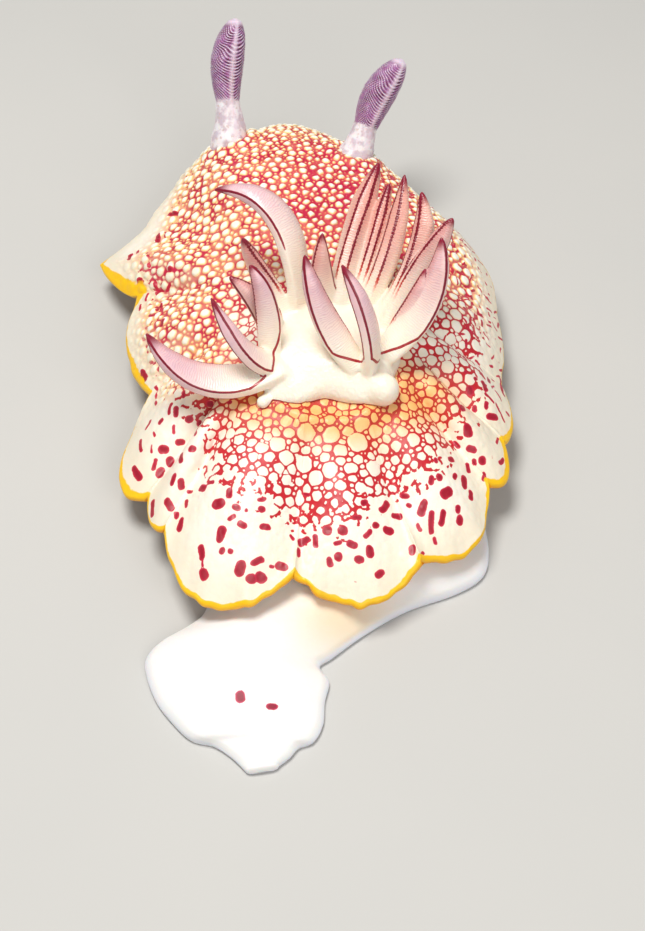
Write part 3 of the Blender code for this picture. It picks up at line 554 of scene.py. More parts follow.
low, high = np.minimum(first_cell, second_cell), np.maximum(first_cell, second_cell)
side_number = np.modf(np.abs(np.sin(low * STIR_LOW + high * STIR_HIGH) * STIR_ALL))[0]
net_end = round_curve(NET_END, grid_bearing)
left_over = 1 - smooth_step((grid_share - (net_end - BREAK_WIDTH)) / BREAK_WIDTH)
drawn = smooth_step((left_over - side_number) / SIDE_FADE + 0.5)
near_break = smooth_step((grid_share - (net_end - SWELL_WIDTH)) / SWELL_WIDTH)
net = line_half * (1 + STROKE_SWELL * near_break) * drawn - inside - LEFT_OUT * (1 - drawn)

# %% [markdown]
# The spots of the skirt stand where the photograph has them. Each is a short stroke between two
# places, with a radius, and a little noise makes its outline uneven.

# %% Spots of the skirt
SPOTS = (
    (-15.9, -8.9, -16.5, -7.8, 0.31), (-16.0, -5.4, -15.9, -6.4, 0.22),
    (-15.2, -3.7, -15.6, -4.4, 0.18), (-14.0, -4.5, -14.2, -4.6, 0.24),
    (-13.3, -3.4, -13.4, -4.2, 0.20), (-12.8, -3.9, -12.8, -4.6, 0.26),
    (-11.6, -5.0, -11.7, -5.0, 0.33), (-14.8, -5.4, -14.7, -5.7, 0.13),
    (-12.9, -5.5, -12.9, -6.0, 0.15), (-12.3, -6.6, -12.5, -6.6, 0.35),
    (-13.7, -7.1, -14.0, -7.1, 0.39), (-14.9, -6.5, -14.9, -7.1, 0.13),
    (-10.7, -5.2, -11.0, -7.3, 0.26), (-11.1, -8.8, -11.2, -8.7, 0.34),
    (-12.2, -8.8, -12.2, -9.3, 0.34), (-13.3, -7.9, -13.3, -8.2, 0.39),
    (-14.6, -7.9, -14.7, -8.5, 0.22), (-14.1, -8.9, -14.1, -9.0, 0.41),
    (-12.7, -10.5, -13.0, -11.0, 0.26), (-12.2, -11.0, -12.1, -11.5, 0.30),
    (-11.2, -11.7, -11.5, -11.6, 0.21), (-10.1, -12.2, -10.4, -12.0, 0.34),
    (-9.3, -12.1, -9.7, -11.9, 0.21), (-11.7, -12.5, -11.6, -13.1, 0.21),
    (-14.6, -11.6, -14.6, -12.8, 0.30), (-12.9, -13.1, -13.3, -12.4, 0.34),
    (-12.5, -13.6, -12.5, -13.9, 0.23), (-12.0, -14.4, -12.2, -15.1, 0.30),
    (-8.6, -14.3, -8.9, -14.3, 0.46), (-7.8, -13.5, -7.8, -13.8, 0.34),
    (-7.1, -15.0, -7.3, -15.0, 0.34), (-6.4, -15.2, -6.4, -15.2, 0.17),
    (-5.1, -15.2, -5.1, -15.2, 0.34), (-7.5, -15.7, -7.8, -15.8, 0.21),
    (-6.6, -16.4, -6.9, -16.3, 0.29), (-4.6, -16.5, -5.0, -16.4, 0.31),
    (-8.4, -16.6, -8.6, -17.3, 0.38), (-8.4, -18.2, -8.4, -18.3, 0.29),
    (-7.6, -18.4, -7.7, -18.4, 0.25), (-10.2, -17.6, -10.1, -18.4, 0.29),
    (-9.8, -19.9, -10.0, -19.6, 0.38), (-10.0, -18.6, -10.0, -19.1, 0.13),
    (-6.8, -19.5, -6.9, -19.8, 0.50), (-5.1, -19.1, -5.7, -19.3, 0.31),
    (-6.0, -20.6, -6.0, -20.6, 0.50), (-5.1, -20.4, -5.2, -20.4, 0.50),
    (-3.4, -19.4, -3.5, -19.4, 0.46), (-4.1, -19.4, -4.3, -19.4, 0.17),
    (-16.0, 2.5, -16.4, 3.4, 0.36), (-15.0, 0.9, -14.8, -1.8, 0.18),
    (-12.1, -2.6, -12.1, -3.0, 0.22), (-9.7, -3.9, -9.8, -3.9, 0.30),
    (-8.0, -4.8, -8.1, -4.8, 0.22), (-2.5, -16.9, -2.7, -16.6, 0.15),
    (-1.4, -16.9, -1.8, -17.0, 0.38), (-0.6, -16.8, -0.6, -17.5, 0.25),
    (-2.0, -17.7, -2.0, -18.3, 0.21), (0.5, -16.4, 0.4, -16.4, 0.42),
    (1.7, -16.5, 1.7, -16.6, 0.38), (3.6, -14.1, 3.4, -14.2, 0.30), (5.5, -13.5, 5.0, -14.3, 0.34),
    (6.6, -14.3, 6.1, -14.5, 0.30), (7.4, -13.4, 7.3, -13.3, 0.21), (7.2, -12.6, 6.9, -12.5, 0.30),
    (8.7, -13.3, 8.4, -14.0, 0.38), (4.5, -15.8, 4.5, -15.8, 0.34), (4.0, -16.3, 3.6, -16.8, 0.21),
    (5.7, -15.8, 5.4, -15.9, 0.38), (8.3, -15.4, 8.0, -15.0, 0.17), (7.5, -17.2, 7.5, -17.5, 0.36),
    (8.5, -17.5, 8.3, -18.0, 0.17), (1.4, -17.4, 1.1, -17.5, 0.21), (2.7, -17.6, 2.3, -17.5, 0.34),
    (4.0, -17.8, 4.0, -18.1, 0.38), (3.1, -18.6, 3.0, -18.7, 0.36), (1.3, -18.3, 1.3, -18.4, 0.34),
    (0.6, -18.6, 0.7, -18.9, 0.27), (4.9, -19.4, 4.7, -19.6, 0.31), (2.8, -20.3, 2.7, -20.3, 0.08),
    (-1.2, -13.1, -1.5, -12.9, 0.21), (3.1, -15.5, 2.7, -15.4, 0.25),
    (-4.9, -14.3, -5.3, -14.3, 0.21), (12.3, -3.8, 12.2, -3.9, 0.35),
    (13.4, -2.5, 13.4, -2.7, 0.24), (13.0, -1.3, 13.0, -1.5, 0.35), (14.5, -0.5, 14.3, -0.0, 0.31),
    (14.9, 1.2, 14.9, 0.9, 0.27), (13.6, -0.1, 13.5, -0.2, 0.22), (16.3, 0.7, 16.1, 2.6, 0.23),
    (16.0, -0.3, 15.5, 0.3, 0.13), (14.5, -1.9, 14.5, -2.2, 0.22), (15.3, -2.8, 14.8, -2.9, 0.35),
    (16.2, -2.5, 15.5, -1.3, 0.16), (12.7, -5.6, 12.7, -6.0, 0.44), (11.8, -6.7, 11.6, -6.5, 0.26),
    (15.5, -4.7, 15.3, -5.4, 0.15), (13.2, -7.1, 12.8, -7.1, 0.30), (13.2, -7.9, 13.2, -8.1, 0.26),
    (14.0, -7.9, 14.0, -7.7, 0.35), (15.8, -6.7, 15.6, -7.1, 0.26), (14.8, -7.0, 14.8, -7.3, 0.09),
    (12.7, -9.0, 12.5, -8.3, 0.22), (14.0, -9.3, 14.0, -8.9, 0.26), (11.2, -8.8, 11.0, -8.9, 0.30),
    (9.7, -9.6, 9.7, -9.8, 0.21), (10.0, -11.1, 10.0, -11.2, 0.30), (9.3, -11.3, 9.2, -11.7, 0.26),
    (11.4, -10.4, 11.3, -10.5, 0.30), (12.2, -10.0, 12.2, -10.7, 0.34),
    (10.8, -12.0, 10.4, -12.3, 0.47), (12.7, -11.2, 12.7, -11.6, 0.30),
    (9.3, -14.0, 9.2, -15.5, 0.28), (10.3, -13.8, 10.1, -14.7, 0.30),
    (11.6, -13.1, 11.5, -13.3, 0.26), (11.7, -13.9, 11.7, -14.1, 0.34),
    (9.5, -16.0, 9.5, -16.3, 0.17), (-13.8, 22.0, -14.7, 22.8, 0.24),
    (-15.7, 20.3, -15.6, 18.9, 0.26), (-15.0, 20.2, -14.9, 19.0, 0.10),
    (-18.3, 18.2, -18.3, 17.6, 0.29), (-17.6, 18.6, -17.6, 18.2, 0.19),
    (-16.3, 16.6, -16.1, 14.8, 0.19), (-17.1, 14.2, -17.2, 13.7, 0.38),
    (-16.3, 12.6, -16.5, 12.0, 0.14), (-17.0, 11.6, -17.0, 11.0, 0.14),
    (-14.9, 9.9, -15.1, 9.5, 0.28), (-15.5, 13.2, -15.4, 12.2, 0.19),
    (-14.2, 12.3, -14.5, 12.1, 0.19), (-14.0, 13.4, -14.1, 13.3, 0.23),
    (-14.4, 6.9, -14.6, 6.8, 0.27),
)
SPOT_EDGE = 0.08
SPOT_ROOM = 0.3

# The right side carries many fine dashes, and the front of the margin isn't in view, so these spots are
# drawn by lot: first and last bearing, first and last share of the way out, how many, the room
# between them, their longest stroke, and their least and largest radius, in mm.
UNSEEN_EDGES = ((-16, 46, 0.74, 0.975, 150, 0.72, 0.75, 0.09, 0.17),
                (46, 104, 0.965, 0.98, 12, 1.05, 0.4, 0.10, 0.18),
                (104, 136, 0.955, 0.975, 12, 1.05, 0.4, 0.10, 0.20))


def unseen_spots():
    """Spots on the margin where the photograph can't be followed, none on top of another."""
    draw = np.random.default_rng(SEED + 70)
    rows = list(SPOTS)
    for first, last, inner, outer, count, room, longest, thin, thick in UNSEEN_EDGES:
        for _ in range(count * 4):
            bearing, share = draw.uniform(first, last), draw.uniform(inner, outer)
            x, y, _ = mantle_top(np.array([bearing]), np.array([share]))[0]
            heading, length = draw.uniform(0, math.pi), draw.uniform(0.0, longest)
            radius = draw.uniform(thin, thick)
            if count and all(math.hypot(x - row[0], y - row[1]) > room for row in rows):
                rows.append((x, y, x + length * math.cos(heading), y + length * math.sin(heading), radius))
                count -= 1
    return tuple(rows[len(SPOTS):])


def spots_on(points, spots, seed):
    """How far inside the nearest spot each point lies, in mm; negative is outside."""
    plan = tree_of(points * (1, 1, 0))
    deep = np.full(len(points), -1.0)
    shaken = points + SPOT_EDGE * shake(points, seed)
    for x1, y1, x2, y2, radius in spots:
        ends = [points[plan.find((x, y, 0))[1]] for x, y in ((x1, y1), (x2, y2))]
        stroke = ends[1] - ends[0]
        middle = (ends[0] + ends[1]) / 2
        reach = np.linalg.norm(stroke) / 2 + radius + SPOT_ROOM
        near = np.nonzero(np.abs(points - middle).max(axis=1) < reach)[0]
        offset = shaken[near] - ends[0]
        share = np.clip(offset @ stroke / max(stroke @ stroke, 1e-6), 0, 1)
        away = np.linalg.norm(offset - share[:, None] * stroke, axis=1)
        deep[near] = np.maximum(deep[near], radius - away)
    return deep


all_spots = SPOTS + unseen_spots()
spot = spots_on(top_points, all_spots, 20)
print("spots:", len(all_spots), "cover", round(float((spot > 0).mean() * 100), 1), "% of the skin")

# %% [markdown]
# In front of the gills each cell is a small bump. A normal map would only fake that in the light, so
# the points are moved. The marks for the paint are gathered at the same time.

# %% Bumps and paint marks
BUMP_FRONT = 0.22
BUMP_REST = 0.05
BUMP_SLOPE = (0.02, 0.32)
BUMP_FADE = 0.25
GILL_SHADOW_STRETCH = 1.3
GILL_SHADOW_REACH = 7.3
GILL_SHADOW_FADE = 2.2
SKIN_WAVE = 0.05
SKIN_WAVE_SIZE = 2.2

skin_x, skin_y = top_points[:, 0], top_points[:, 1]
rise = smooth_step((inside - BUMP_SLOPE[0]) / BUMP_SLOPE[1])
to_left = smooth_step((-skin_x - 5) / 5) * smooth_step((skin_y + 4) / 4)
front = np.maximum(smooth_step((skin_y - 3) / 9), to_left)
front *= 1 - smooth_step((grid_share - net_end + 0.06) / 0.12)
# Painted shadow of the gills, warmed by light through them: a peach tint just behind the plume.
from_plume = np.hypot((skin_x - PLUME_CENTRE[0]) / GILL_SHADOW_STRETCH, skin_y - PLUME_CENTRE[1])
behind = smooth_step((1.0 - skin_y) / 4)
gill_shadow = np.exp(-((np.maximum(from_plume - GILL_SHADOW_REACH, 0)) / GILL_SHADOW_FADE) ** 2) * behind
bump = (BUMP_REST + (BUMP_FRONT - BUMP_REST) * front) * rise
bump *= np.clip(net_end - grid_share + BUMP_FADE, 0, BUMP_FADE) / BUMP_FADE
skin_points = top_points + top_normals * bump[:, None]
skin_points += top_normals * (SKIN_WAVE * ripple(top_points, SKIN_WAVE_SIZE, 9) * (1 - front))[:, None]

# The yellow band runs along the true edge, so its mark is the distance to the last ring of points.
NEAR_EDGE = 0.6
edge_tree = tree_of(top_points[-edge_count:])
rim = (1 - grid_share) * grid_length
by_edge = np.nonzero(grid_share > NEAR_EDGE)[0]
rim[by_edge] = [edge_tree.find(point)[2] for point in top_points[by_edge].tolist()]
rim += BEAD_RADIUS * math.pi / 2

# The band is wider where a lobe hangs over: its width in mm at each bearing
BAND = ((0, 0.75), (60, 0.7), (125, 0.5), (150, 0.45), (158, 0.6), (161, 1.3), (163.5, 2.3), (166, 1.9),
        (169, 0.9), (176, 0.8), (186, 1.5), (192, 0.9), (202, 0.9), (210, 1.3), (216, 0.9), (232, 0.9),
        (250, 0.90), (264, 0.90), (285, 0.90), (302, 0.95), (325, 0.90), (335, 1.3), (342, 1.2), (350, 0.8))
rim /= np.maximum(round_curve(BAND, grid_bearing), 0.4)
print("highest bump:", round(float(bump.max()), 2), "mm")

# %% [markdown]
# ## The foot
# The foot is a smooth white slab that the slug crawls on, broad under the mantle and fanned out at the
# tail. It is lofted through cross-sections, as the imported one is, with a curve through the stations
# so that its outline flows.

# %% Foot
FOOT_STATIONS = (
    ((-4.9, 34.0), (2.6, 32.3), 1.15),
    ((-7.7, 33.0), (5.2, 30.4), 1.2),
    ((-9.7, 30.8), (7.6, 27.2), 1.2),
    ((-10.9, 26.6), (9.2, 22.6), 1.4),
    ((-11.6, 19.4), (10.4, 16.6), 2.2),
    ((-12.0, 11.0), (11.6, 10.0), 2.9),
    ((-12.2, 3.0), (12.6, 3.0), 3.1),
    ((-11.8, -4.0), (13.4, -4.0), 3.2),
    ((-10.8, -10.0), (14.1, -9.4), 3.3),
    ((-10.2, -14.0), (14.5, -13.6), 3.4),
    ((-9.9, -17.0), (13.9, -16.4), 3.4),
    ((-9.8, -19.2), (11.6, -18.2), 3.2),
    ((-10.3, -20.8), (7.4, -20.0), 3.0),
    ((-11.8, -22.2), (3.8, -22.4), 2.8),
    ((-13.8, -23.6), (0.9, -24.9), 2.7),
    ((-14.8, -25.2), (-0.2, -25.9), 2.6),
    ((-14.6, -27.0), (0.55, -27.4), 2.5),
    ((-13.7, -29.4), (0.2, -29.4), 2.3),
    ((-12.4, -31.3), (0.05, -31.6), 2.1),
    ((-10.8, -33.0), (-0.7, -33.2), 1.8),
    ((-8.9, -33.6), (-1.9, -33.8), 1.5),
    ((-7.4, -34.7), (-2.6, -34.7), 1.2),
    ((-6.2, -36.0), (-3.5, -35.5), 0.9),
)
FOOT_EDGE_ROUND = 0.35
FOOT_EDGE_TOP = 0.8
FOOT_EDGE_WIDTH = 0.7
FOOT_CROWN_POWER = 2.4
FOOT_CURL = 0.4
FOOT_STEPS = 300
FOOT_ACROSS = 90
LIP_STEPS = 6
LIP_HEIGHT = 0.3
END_TURNS = (12, 24, 36, 48, 60, 70, 78, 84, 88)
EDGE_MARK = 8            # the edge's mark in the middle of the foot; it is 0 at the lip
TAIL_SPOTS = ((-6.65, -29.8, -6.6, -30.3, 0.38), (-4.25, -31.05, -4.0, -31.05, 0.36))


def flow(rows, steps):
    """Values along a smooth curve through rows of numbers."""
    rows = np.asarray(rows, float)
    place = np.linspace(0, len(rows) - 1, steps)
    i = np.clip(place.astype(int), 0, len(rows) - 2)
    t = (place - i)[:, None]
    before, after = rows[np.maximum(i - 1, 0)], rows[np.minimum(i + 2, len(rows) - 1)]
    start, end = rows[i], rows[i + 1]
    return 0.5 * (2 * start + (end - before) * t + (2 * before - 5 * start + 4 * end - after) * t ** 2
                  + (3 * start - before - 3 * end + after) * t ** 3)


stations = flow([(*left, *right, crown) for left, right, crown in FOOT_STATIONS], FOOT_STEPS)
left, right, crown = stations[:, 0:2], stations[:, 2:4], stations[:, 4]
middle, half = (left + right) / 2, np.linalg.norm(right - left, axis=1) / 2
across = unit(right - left)
side = np.sin(np.linspace(-1, 1, FOOT_ACROSS) * math.pi / 2)
turn = np.linspace(0, math.pi / 2, LIP_STEPS)[1:]
curl = FOOT_CURL * (1 - np.cos(turn))
lower_z = FOOT_EDGE_ROUND * (1 - np.sin(turn))
foot_rings = []
for k in range(FOOT_STEPS):
    from_edge = np.clip((1 - np.abs(side)) * half[k] / FOOT_EDGE_WIDTH, 0, 1)
    dome = FOOT_EDGE_TOP + (crown[k] - FOOT_EDGE_TOP) * (1 - np.abs(side) ** FOOT_CROWN_POWER)
    height = FOOT_EDGE_ROUND + (dome - FOOT_EDGE_ROUND) * np.sqrt(1 - (1 - from_edge) ** 2)
    upper = np.column_stack([middle[k] + across[k] * (side * half[k])[:, None], height])
    right_lip = np.column_stack([middle[k] + across[k] * (half[k] - curl)[:, None], lower_z])
    left_lip = np.column_stack([middle[k] - across[k] * (half[k] - curl)[:, None], lower_z])[::-1]
    foot_rings.append(np.concatenate([upper, right_lip, left_lip]))


def rounded_end(ring, ahead, reach, narrowing):
    """Rings that close one end of the foot in a soft lip, down to a thin line at the lip's height."""
    rings = []
    centre = ring.mean(axis=0)
    for turn in np.radians(END_TURNS):
        shrunk = ring.copy()
        shrunk[:, 2] = LIP_HEIGHT + (ring[:, 2] - LIP_HEIGHT) * math.cos(turn)
        shrunk[:, :2] = centre[:2] + (ring[:, :2] - centre[:2]) * (1 - narrowing * (1 - math.cos(turn)))
        shrunk[:, :2] += ahead * reach * math.sin(turn)
        rings.append(shrunk)
    return rings


ahead = unit(middle[0] - middle[1])
astern = unit(np.array([across[-1][1], -across[-1][0]]))
foot_rings = (rounded_end(foot_rings[0], ahead, 0.45, 0.25)[::-1] + foot_rings
              + rounded_end(foot_rings[-1], astern, 0.3, 0.6))
foot_count = len(foot_rings[0])
foot_points = np.concatenate(foot_rings)
foot_points[:, 2] += (foot_points[:, 2] > 0.5) * 0.05 * ripple(foot_points, 3.0, 30)
foot_faces = [tuple(reversed(face)) for face in loft_faces(len(foot_rings), foot_count)]
foot_faces.append(tuple(range(foot_count)))
foot_faces.append(tuple(len(foot_points) - 1 - k for k in range(foot_count)))
foot_edge = np.tile(np.append((1 - np.abs(side)) * EDGE_MARK, np.zeros(2 * len(turn))), len(foot_rings))
foot_spot = spots_on(foot_points, TAIL_SPOTS, 50)

# Painted shade, warmed by light through the mantle: a cream tint where the neck of the tail comes out from
# under it.
UNDER_MANTLE_SHADE_AT = (1.5, -22.0)
UNDER_MANTLE_SHADE_REACH = (4.5, 3.4)
foot_under_mantle_shade = np.exp(-(((foot_points[:, :2] - UNDER_MANTLE_SHADE_AT) / UNDER_MANTLE_SHADE_REACH) ** 2).sum(axis=1))
foot_skin = make_piece("foot_skin", foot_points, foot_faces,
                       {"spot": foot_spot, "edge": foot_edge, "cream": foot_under_mantle_shade})
foot_surface = BVHTree.FromPolygons([tuple(p) for p in foot_points.tolist()], foot_faces)

# %% [markdown]
# ## Under the mantle
# The margin is a rounded bead. From there the underside runs back in to the flank, and the flank
# comes down to the foot in a soft hollow. Each of these is another ring of points under the last one
# of the upper skin, so the whole cloak is one mesh with no seam.

# %% Bead, underside and flank
SKIRT_THICK = 1.9
SKIRT_ROOT = 0.72
FLANK = ((0, 0.60), (40, 0.60), (62, 0.70), (90, 0.82), (110, 0.80), (126, 0.64), (150, 0.59),
         (180, 0.60), (225, 0.58), (270, 0.60), (315, 0.58))
ARMPIT = 0.03
WALL_SHARE = 0.72
WALL_STEPS = (0.0, 0.25, 0.5, 0.75)
EVENED = range(-16, 17, 4)
BEAD_TURNS = range(15, 181, 15)
HORN_BED = 1.2           # the skin is this much thicker, in mm, under a rhinophore
HORN_BED_WIDTH = 3.0
UNDER_RINGS = 16
HOLLOW = ((0.0, 1.5), (0.06, 0.95), (0.16, 0.58), (0.32, 0.28), (0.55, 0.08), (0.8, -0.06), (1.0, -0.2))

bead_share = 1 - BEAD_RADIUS / edge_length
bead_top = mantle_top(edge_bearing, bead_share)
bead_up = mantle_normal(edge_bearing, bead_share)
bead_out = unit(mantle_top(edge_bearing, np.ones(edge_count)) - mantle_top(edge_bearing, bead_share - 0.01))
bead_middle = bead_top - bead_up * BEAD_RADIUS
under_rings, under_rim = [], []
for turn in np.radians(BEAD_TURNS):
    under_rings.append(bead_middle + BEAD_RADIUS * (bead_out * math.sin(turn) + bead_up * math.cos(turn)))
    under_rim.append(np.full(edge_count, BEAD_RADIUS * (math.pi / 2 - turn)))

even_up = lambda share: unit(sum(mantle_normal(edge_bearing + offset, share) for offset in EVENED))
flank = round_curve(FLANK, edge_bearing)
for step in range(1, UNDER_RINGS + 1):
    t = step / UNDER_RINGS
    share = bead_share + (flank + ARMPIT - bead_share) * t
    surface = mantle_top(edge_bearing, share)
    thick = 2 * BEAD_RADIUS + (SKIRT_THICK - 2 * BEAD_RADIUS) * (bead_share - share) / (1 - SKIRT_ROOT)
    for _, foot_point, _ in RHINOPHORES:
        apart = ((surface[:, :2] - foot_point[:2]) ** 2).sum(axis=1)
        thick = thick + HORN_BED * np.exp(-apart / HORN_BED_WIDTH ** 2)
    ease = smooth_step(t / 0.3)
    lift = unit(mantle_normal(edge_bearing, share) * (1 - ease) + even_up(share) * ease)
    under_rings.append(surface - lift * thick[:, None])
    under_rim.append(-1.0 - 6 * t * np.ones(edge_count))

wall = mantle_top(edge_bearing, flank)
wall_out = unit(np.column_stack([np.cos(np.radians(edge_bearing)) * MANTLE_HALF_LENGTH,
                                 np.sin(np.radians(edge_bearing)) * MANTLE_HALF_WIDTH]))
armpit_height = under_rings[-1][:, 2] * WALL_SHARE


def foot_height(x, y):
    hit = foot_surface.ray_cast(Vector((x, y, 30)), Vector((0, 0, -1)))[0]
    return hit.z if hit else FOOT_EDGE_ROUND


hollow_rings = []
for out, rise_here in HOLLOW:
    ring = wall.copy()
    ring[:, :2] += wall_out * out
    ring[:, 2] = [foot_height(x, y) for x, y in ring[:, :2].tolist()]
    ring[:, 2] += rise_here
    hollow_rings.append(ring)
for t in WALL_STEPS:
    ring = wall.copy()
    ring[:, 2] = armpit_height * (1 - t) + np.minimum(hollow_rings[0][:, 2], armpit_height) * t
    under_rings.append(ring)
    under_rim.append(np.full(edge_count, -8.0))
for ring in hollow_rings:
    ring[:, 2] = np.minimum(ring[:, 2], armpit_height)
    under_rings.append(ring)
    under_rim.append(np.full(edge_count, -9.0))
for _ in range(3):
    for k in range(14, len(under_rings) - 5):
        under_rings[k] = (under_rings[k - 1] + 2 * under_rings[k] + under_rings[k + 1]) / 4

# %% Join the cloak into one mesh
last_ring = 1 + 4 * RINGS * (RINGS - 1)
cloak_points = np.concatenate([skin_points, *under_rings])
cloak_faces = [tuple(face) for face in top_faces.tolist()]
cloak_faces += loft_faces(len(under_rings) + 1, edge_count, last_ring)
below = len(cloak_points) - len(skin_points)

# Each mark has its values on the upper skin and one value for all that lies below.
skin_marks = {"net": (net, -1.0), "spot": (spot, -1.0), "front": (front, 0.0), "gill_shadow": (gill_shadow, 0.0),
              "rise": (rise, 1.0), "deep": (dark, 0.0)}
marks = {label: np.append(values, np.full(below, rest)) for label, (values, rest) in skin_marks.items()}
marks["rim"] = np.concatenate([rim, *under_rim])
mantle_skin = make_piece("mantle_skin", cloak_points, cloak_faces, marks)

# %% [markdown]
# ## Finish of the mantle
# Living skin is wet, a little see-through and never one colour. The layers go on in the order that
# they lie: cream ground, yellowish tops on the bumps, a greyer cream by the margin that is painted
# shade, a peach painted shadow behind the gills, crimson net, darker spots, and the yellow band along
# the margin.

# %% Mantle finish
skin = Finish("netted skin", 0.45, glow=0.2, glow_reach=0.35, coat=0.05)
front_mark, gill_shadow_mark, rise_mark, rim_mark = (skin.mark(label) for label in ("front", "gill_shadow", "rise", "rim"))
ground = skin.mottle(3.5, (255, 250, 241), (251, 238, 218))
pale_flank = skin.mottle(1.1, (246, 150, 150), (255, 206, 130))
red_flank = skin.mottle(1.1, (222, 50, 92), (244, 120, 92))
flank_of_bump = skin.mix(skin.mark("deep"), pale_flank, red_flank)
tops = skin.mix(skin.ease(rise_mark, 0.02, 0.30), flank_of_bump, shade(255, 220, 140))
tops = skin.mix(skin.ease(rise_mark, 0.26, 0.80), tops, shade(255, 252, 238))
ground = skin.mix(front_mark, ground, tops)
# Painted shade: a greyer cream within a few millimetres of the margin, where the lobes round over.
ground = skin.mix(skin.ease(rim_mark, 6.0, 1.2, 0.0, 0.7), ground, shade(238, 227, 202))
# Painted shadow of the gills: the ground just behind the plume turns peach.
ground = skin.mix(gill_shadow_mark, ground, skin.mottle(2.2, (254, 206, 142), (248, 178, 98)))

# The lines of the net are softer in front, and faded in patches there.
line_colour = skin.mottle(0.9, (216, 36, 48), (184, 14, 38))
front_line = skin.mottle(2.4, (218, 40, 92), (180, 2, 46))
line_colour = skin.mix(skin.times(front_mark, 0.9), line_colour, front_line)
# In the gills' painted shadow the lines of the net turn a browner red.
line_colour = skin.mix(gill_shadow_mark, line_colour, shade(196, 54, 36))
softness = skin.sum("MULTIPLY_ADD", front_mark, 0.05, 0.02)
net_share = skin.ease(skin.uneven("net", 0.25, 0.06), skin.times(softness, -1.0), softness)
faded = skin.times(front_mark, skin.ease(skin.noise(1.8), 0.56, 0.38, 0.0, 0.45))
net_share = skin.times(net_share, skin.sum("SUBTRACT", 1.0, faded))
colour = skin.mix(net_share, ground, line_colour)

spot_colour = skin.mix(skin.ease(skin.mark("spot"), 0.0, 0.22), shade(206, 32, 68), shade(164, 10, 42))
colour = skin.mix(skin.ease(skin.uneven("spot", 0.3, 0.10), -0.03, 0.03), colour, spot_colour)
edge_colour = skin.mix(skin.ease(rim_mark, -0.25, 0.5), shade(244, 150, 16), shade(255, 200, 10))
colour = skin.mix(skin.ease(skin.uneven("rim", 0.8, 0.36), 0.92, 0.80), colour, edge_colour)
under_colour = skin.mottle(2.0, (250, 240, 224), (238, 222, 202))
colour = skin.mix(skin.ease(rim_mark, -0.55, -0.85), colour, under_colour)
skin.bump(skin.noise(0.35, 4.0), 0.25, 0.06)
mantle_skin.data.materials.append(skin.paint(colour))

# %% Foot finish
white = Finish("white foot", 0.4, glow=0.3, glow_reach=0.8)
colour = white.mottle(4.0, (252, 251, 249), (243, 242, 243))
# Painted shade in warm cream where the tail comes out from under the mantle.
colour = white.mix(white.times(white.mark("cream"), 0.8), colour, shade(240, 218, 180))
# Painted shade: a bluish grey along the foot's thin edge.
colour = white.mix(white.ease(white.mark("edge"), 0.5, 0.0), colour, shade(238, 239, 248))
tail_spot = white.mix(white.ease(white.mark("spot"), 0.0, 0.2), shade(206, 40, 88), shade(150, 8, 48))
colour = white.mix(white.ease(white.uneven("spot", 0.3, 0.08), -0.04, 0.04), colour, tail_spot)
white.bump(white.noise(0.8, 4.0), 0.3, 0.10)
foot_skin.data.materials.append(white.paint(colour))

# %% [markdown]
# ## The plume of gills
# Sixteen gills stand in a ring on a low cup. Each is a blade: a narrow smooth keel outside between
# two crisp dark lines, broad leaved faces, and a thin inner edge with a red fringe. They could stay
# separate meshes pushed into the cup, but the real ones grow out of it. So all are made as closed
# shapes, melted together on a fine voxel grid, and smoothed where they meet.

# %% Gill tables
CUP_TOP = 13.4
CUP_TOP_CENTRE = (0.6, 0.5)
CUP_TOP_RADII = (5.8, 5.3)
POCKET_FLOOR = 9.7
BULB_CENTRE = (5.2, -4.5, 11.2)
BULB_RADIUS = 1.5
DRIP_CENTRE = (-5.1, -5.4, 10.6)
DRIP_RADIUS = 0.7

# How wide the foot of the cup is at a bearing: it bulges behind on the left and is hollow in between.
CUP_OUTLINE = ((0, 1.0), (120, 1.0), (180, 1.0), (203, 1.08), (222, 1.20), (240, 1.04), (266, 0.80),
               (290, 0.92), (310, 1.12), (334, 1.02))

# Where two gills stand side by side behind, the dark line of one keel turns into that of the next, at
# a lowest point on the cup. Along the other gills it fades out towards the root.
TURNS = (("end_left", "near_left", (-4.29, -2.48, 11.5)), ("near_left", "long_left", (-5.22, -3.3, 11.0)),
         ("broad_right", "near_right", (4.64, -1.89, 11.5)), ("near_right", "end_right", (3.08, -1.77, 11.5)))
TURNING = {name for first, second, _ in TURNS for name in (first, second)}

# The gills in front are peach rather than lilac.
PEACH_GILLS = {"front_short": 0.7, "front_long": 1.0, "front_hidden": 1.0, "front_right": 1.0,
               "side_right": 0.9, "far_right": 0.6, "low_right": 0.4, "broad_right": 0.3,
               "low_left": 0.5, "side_left": 0.6}

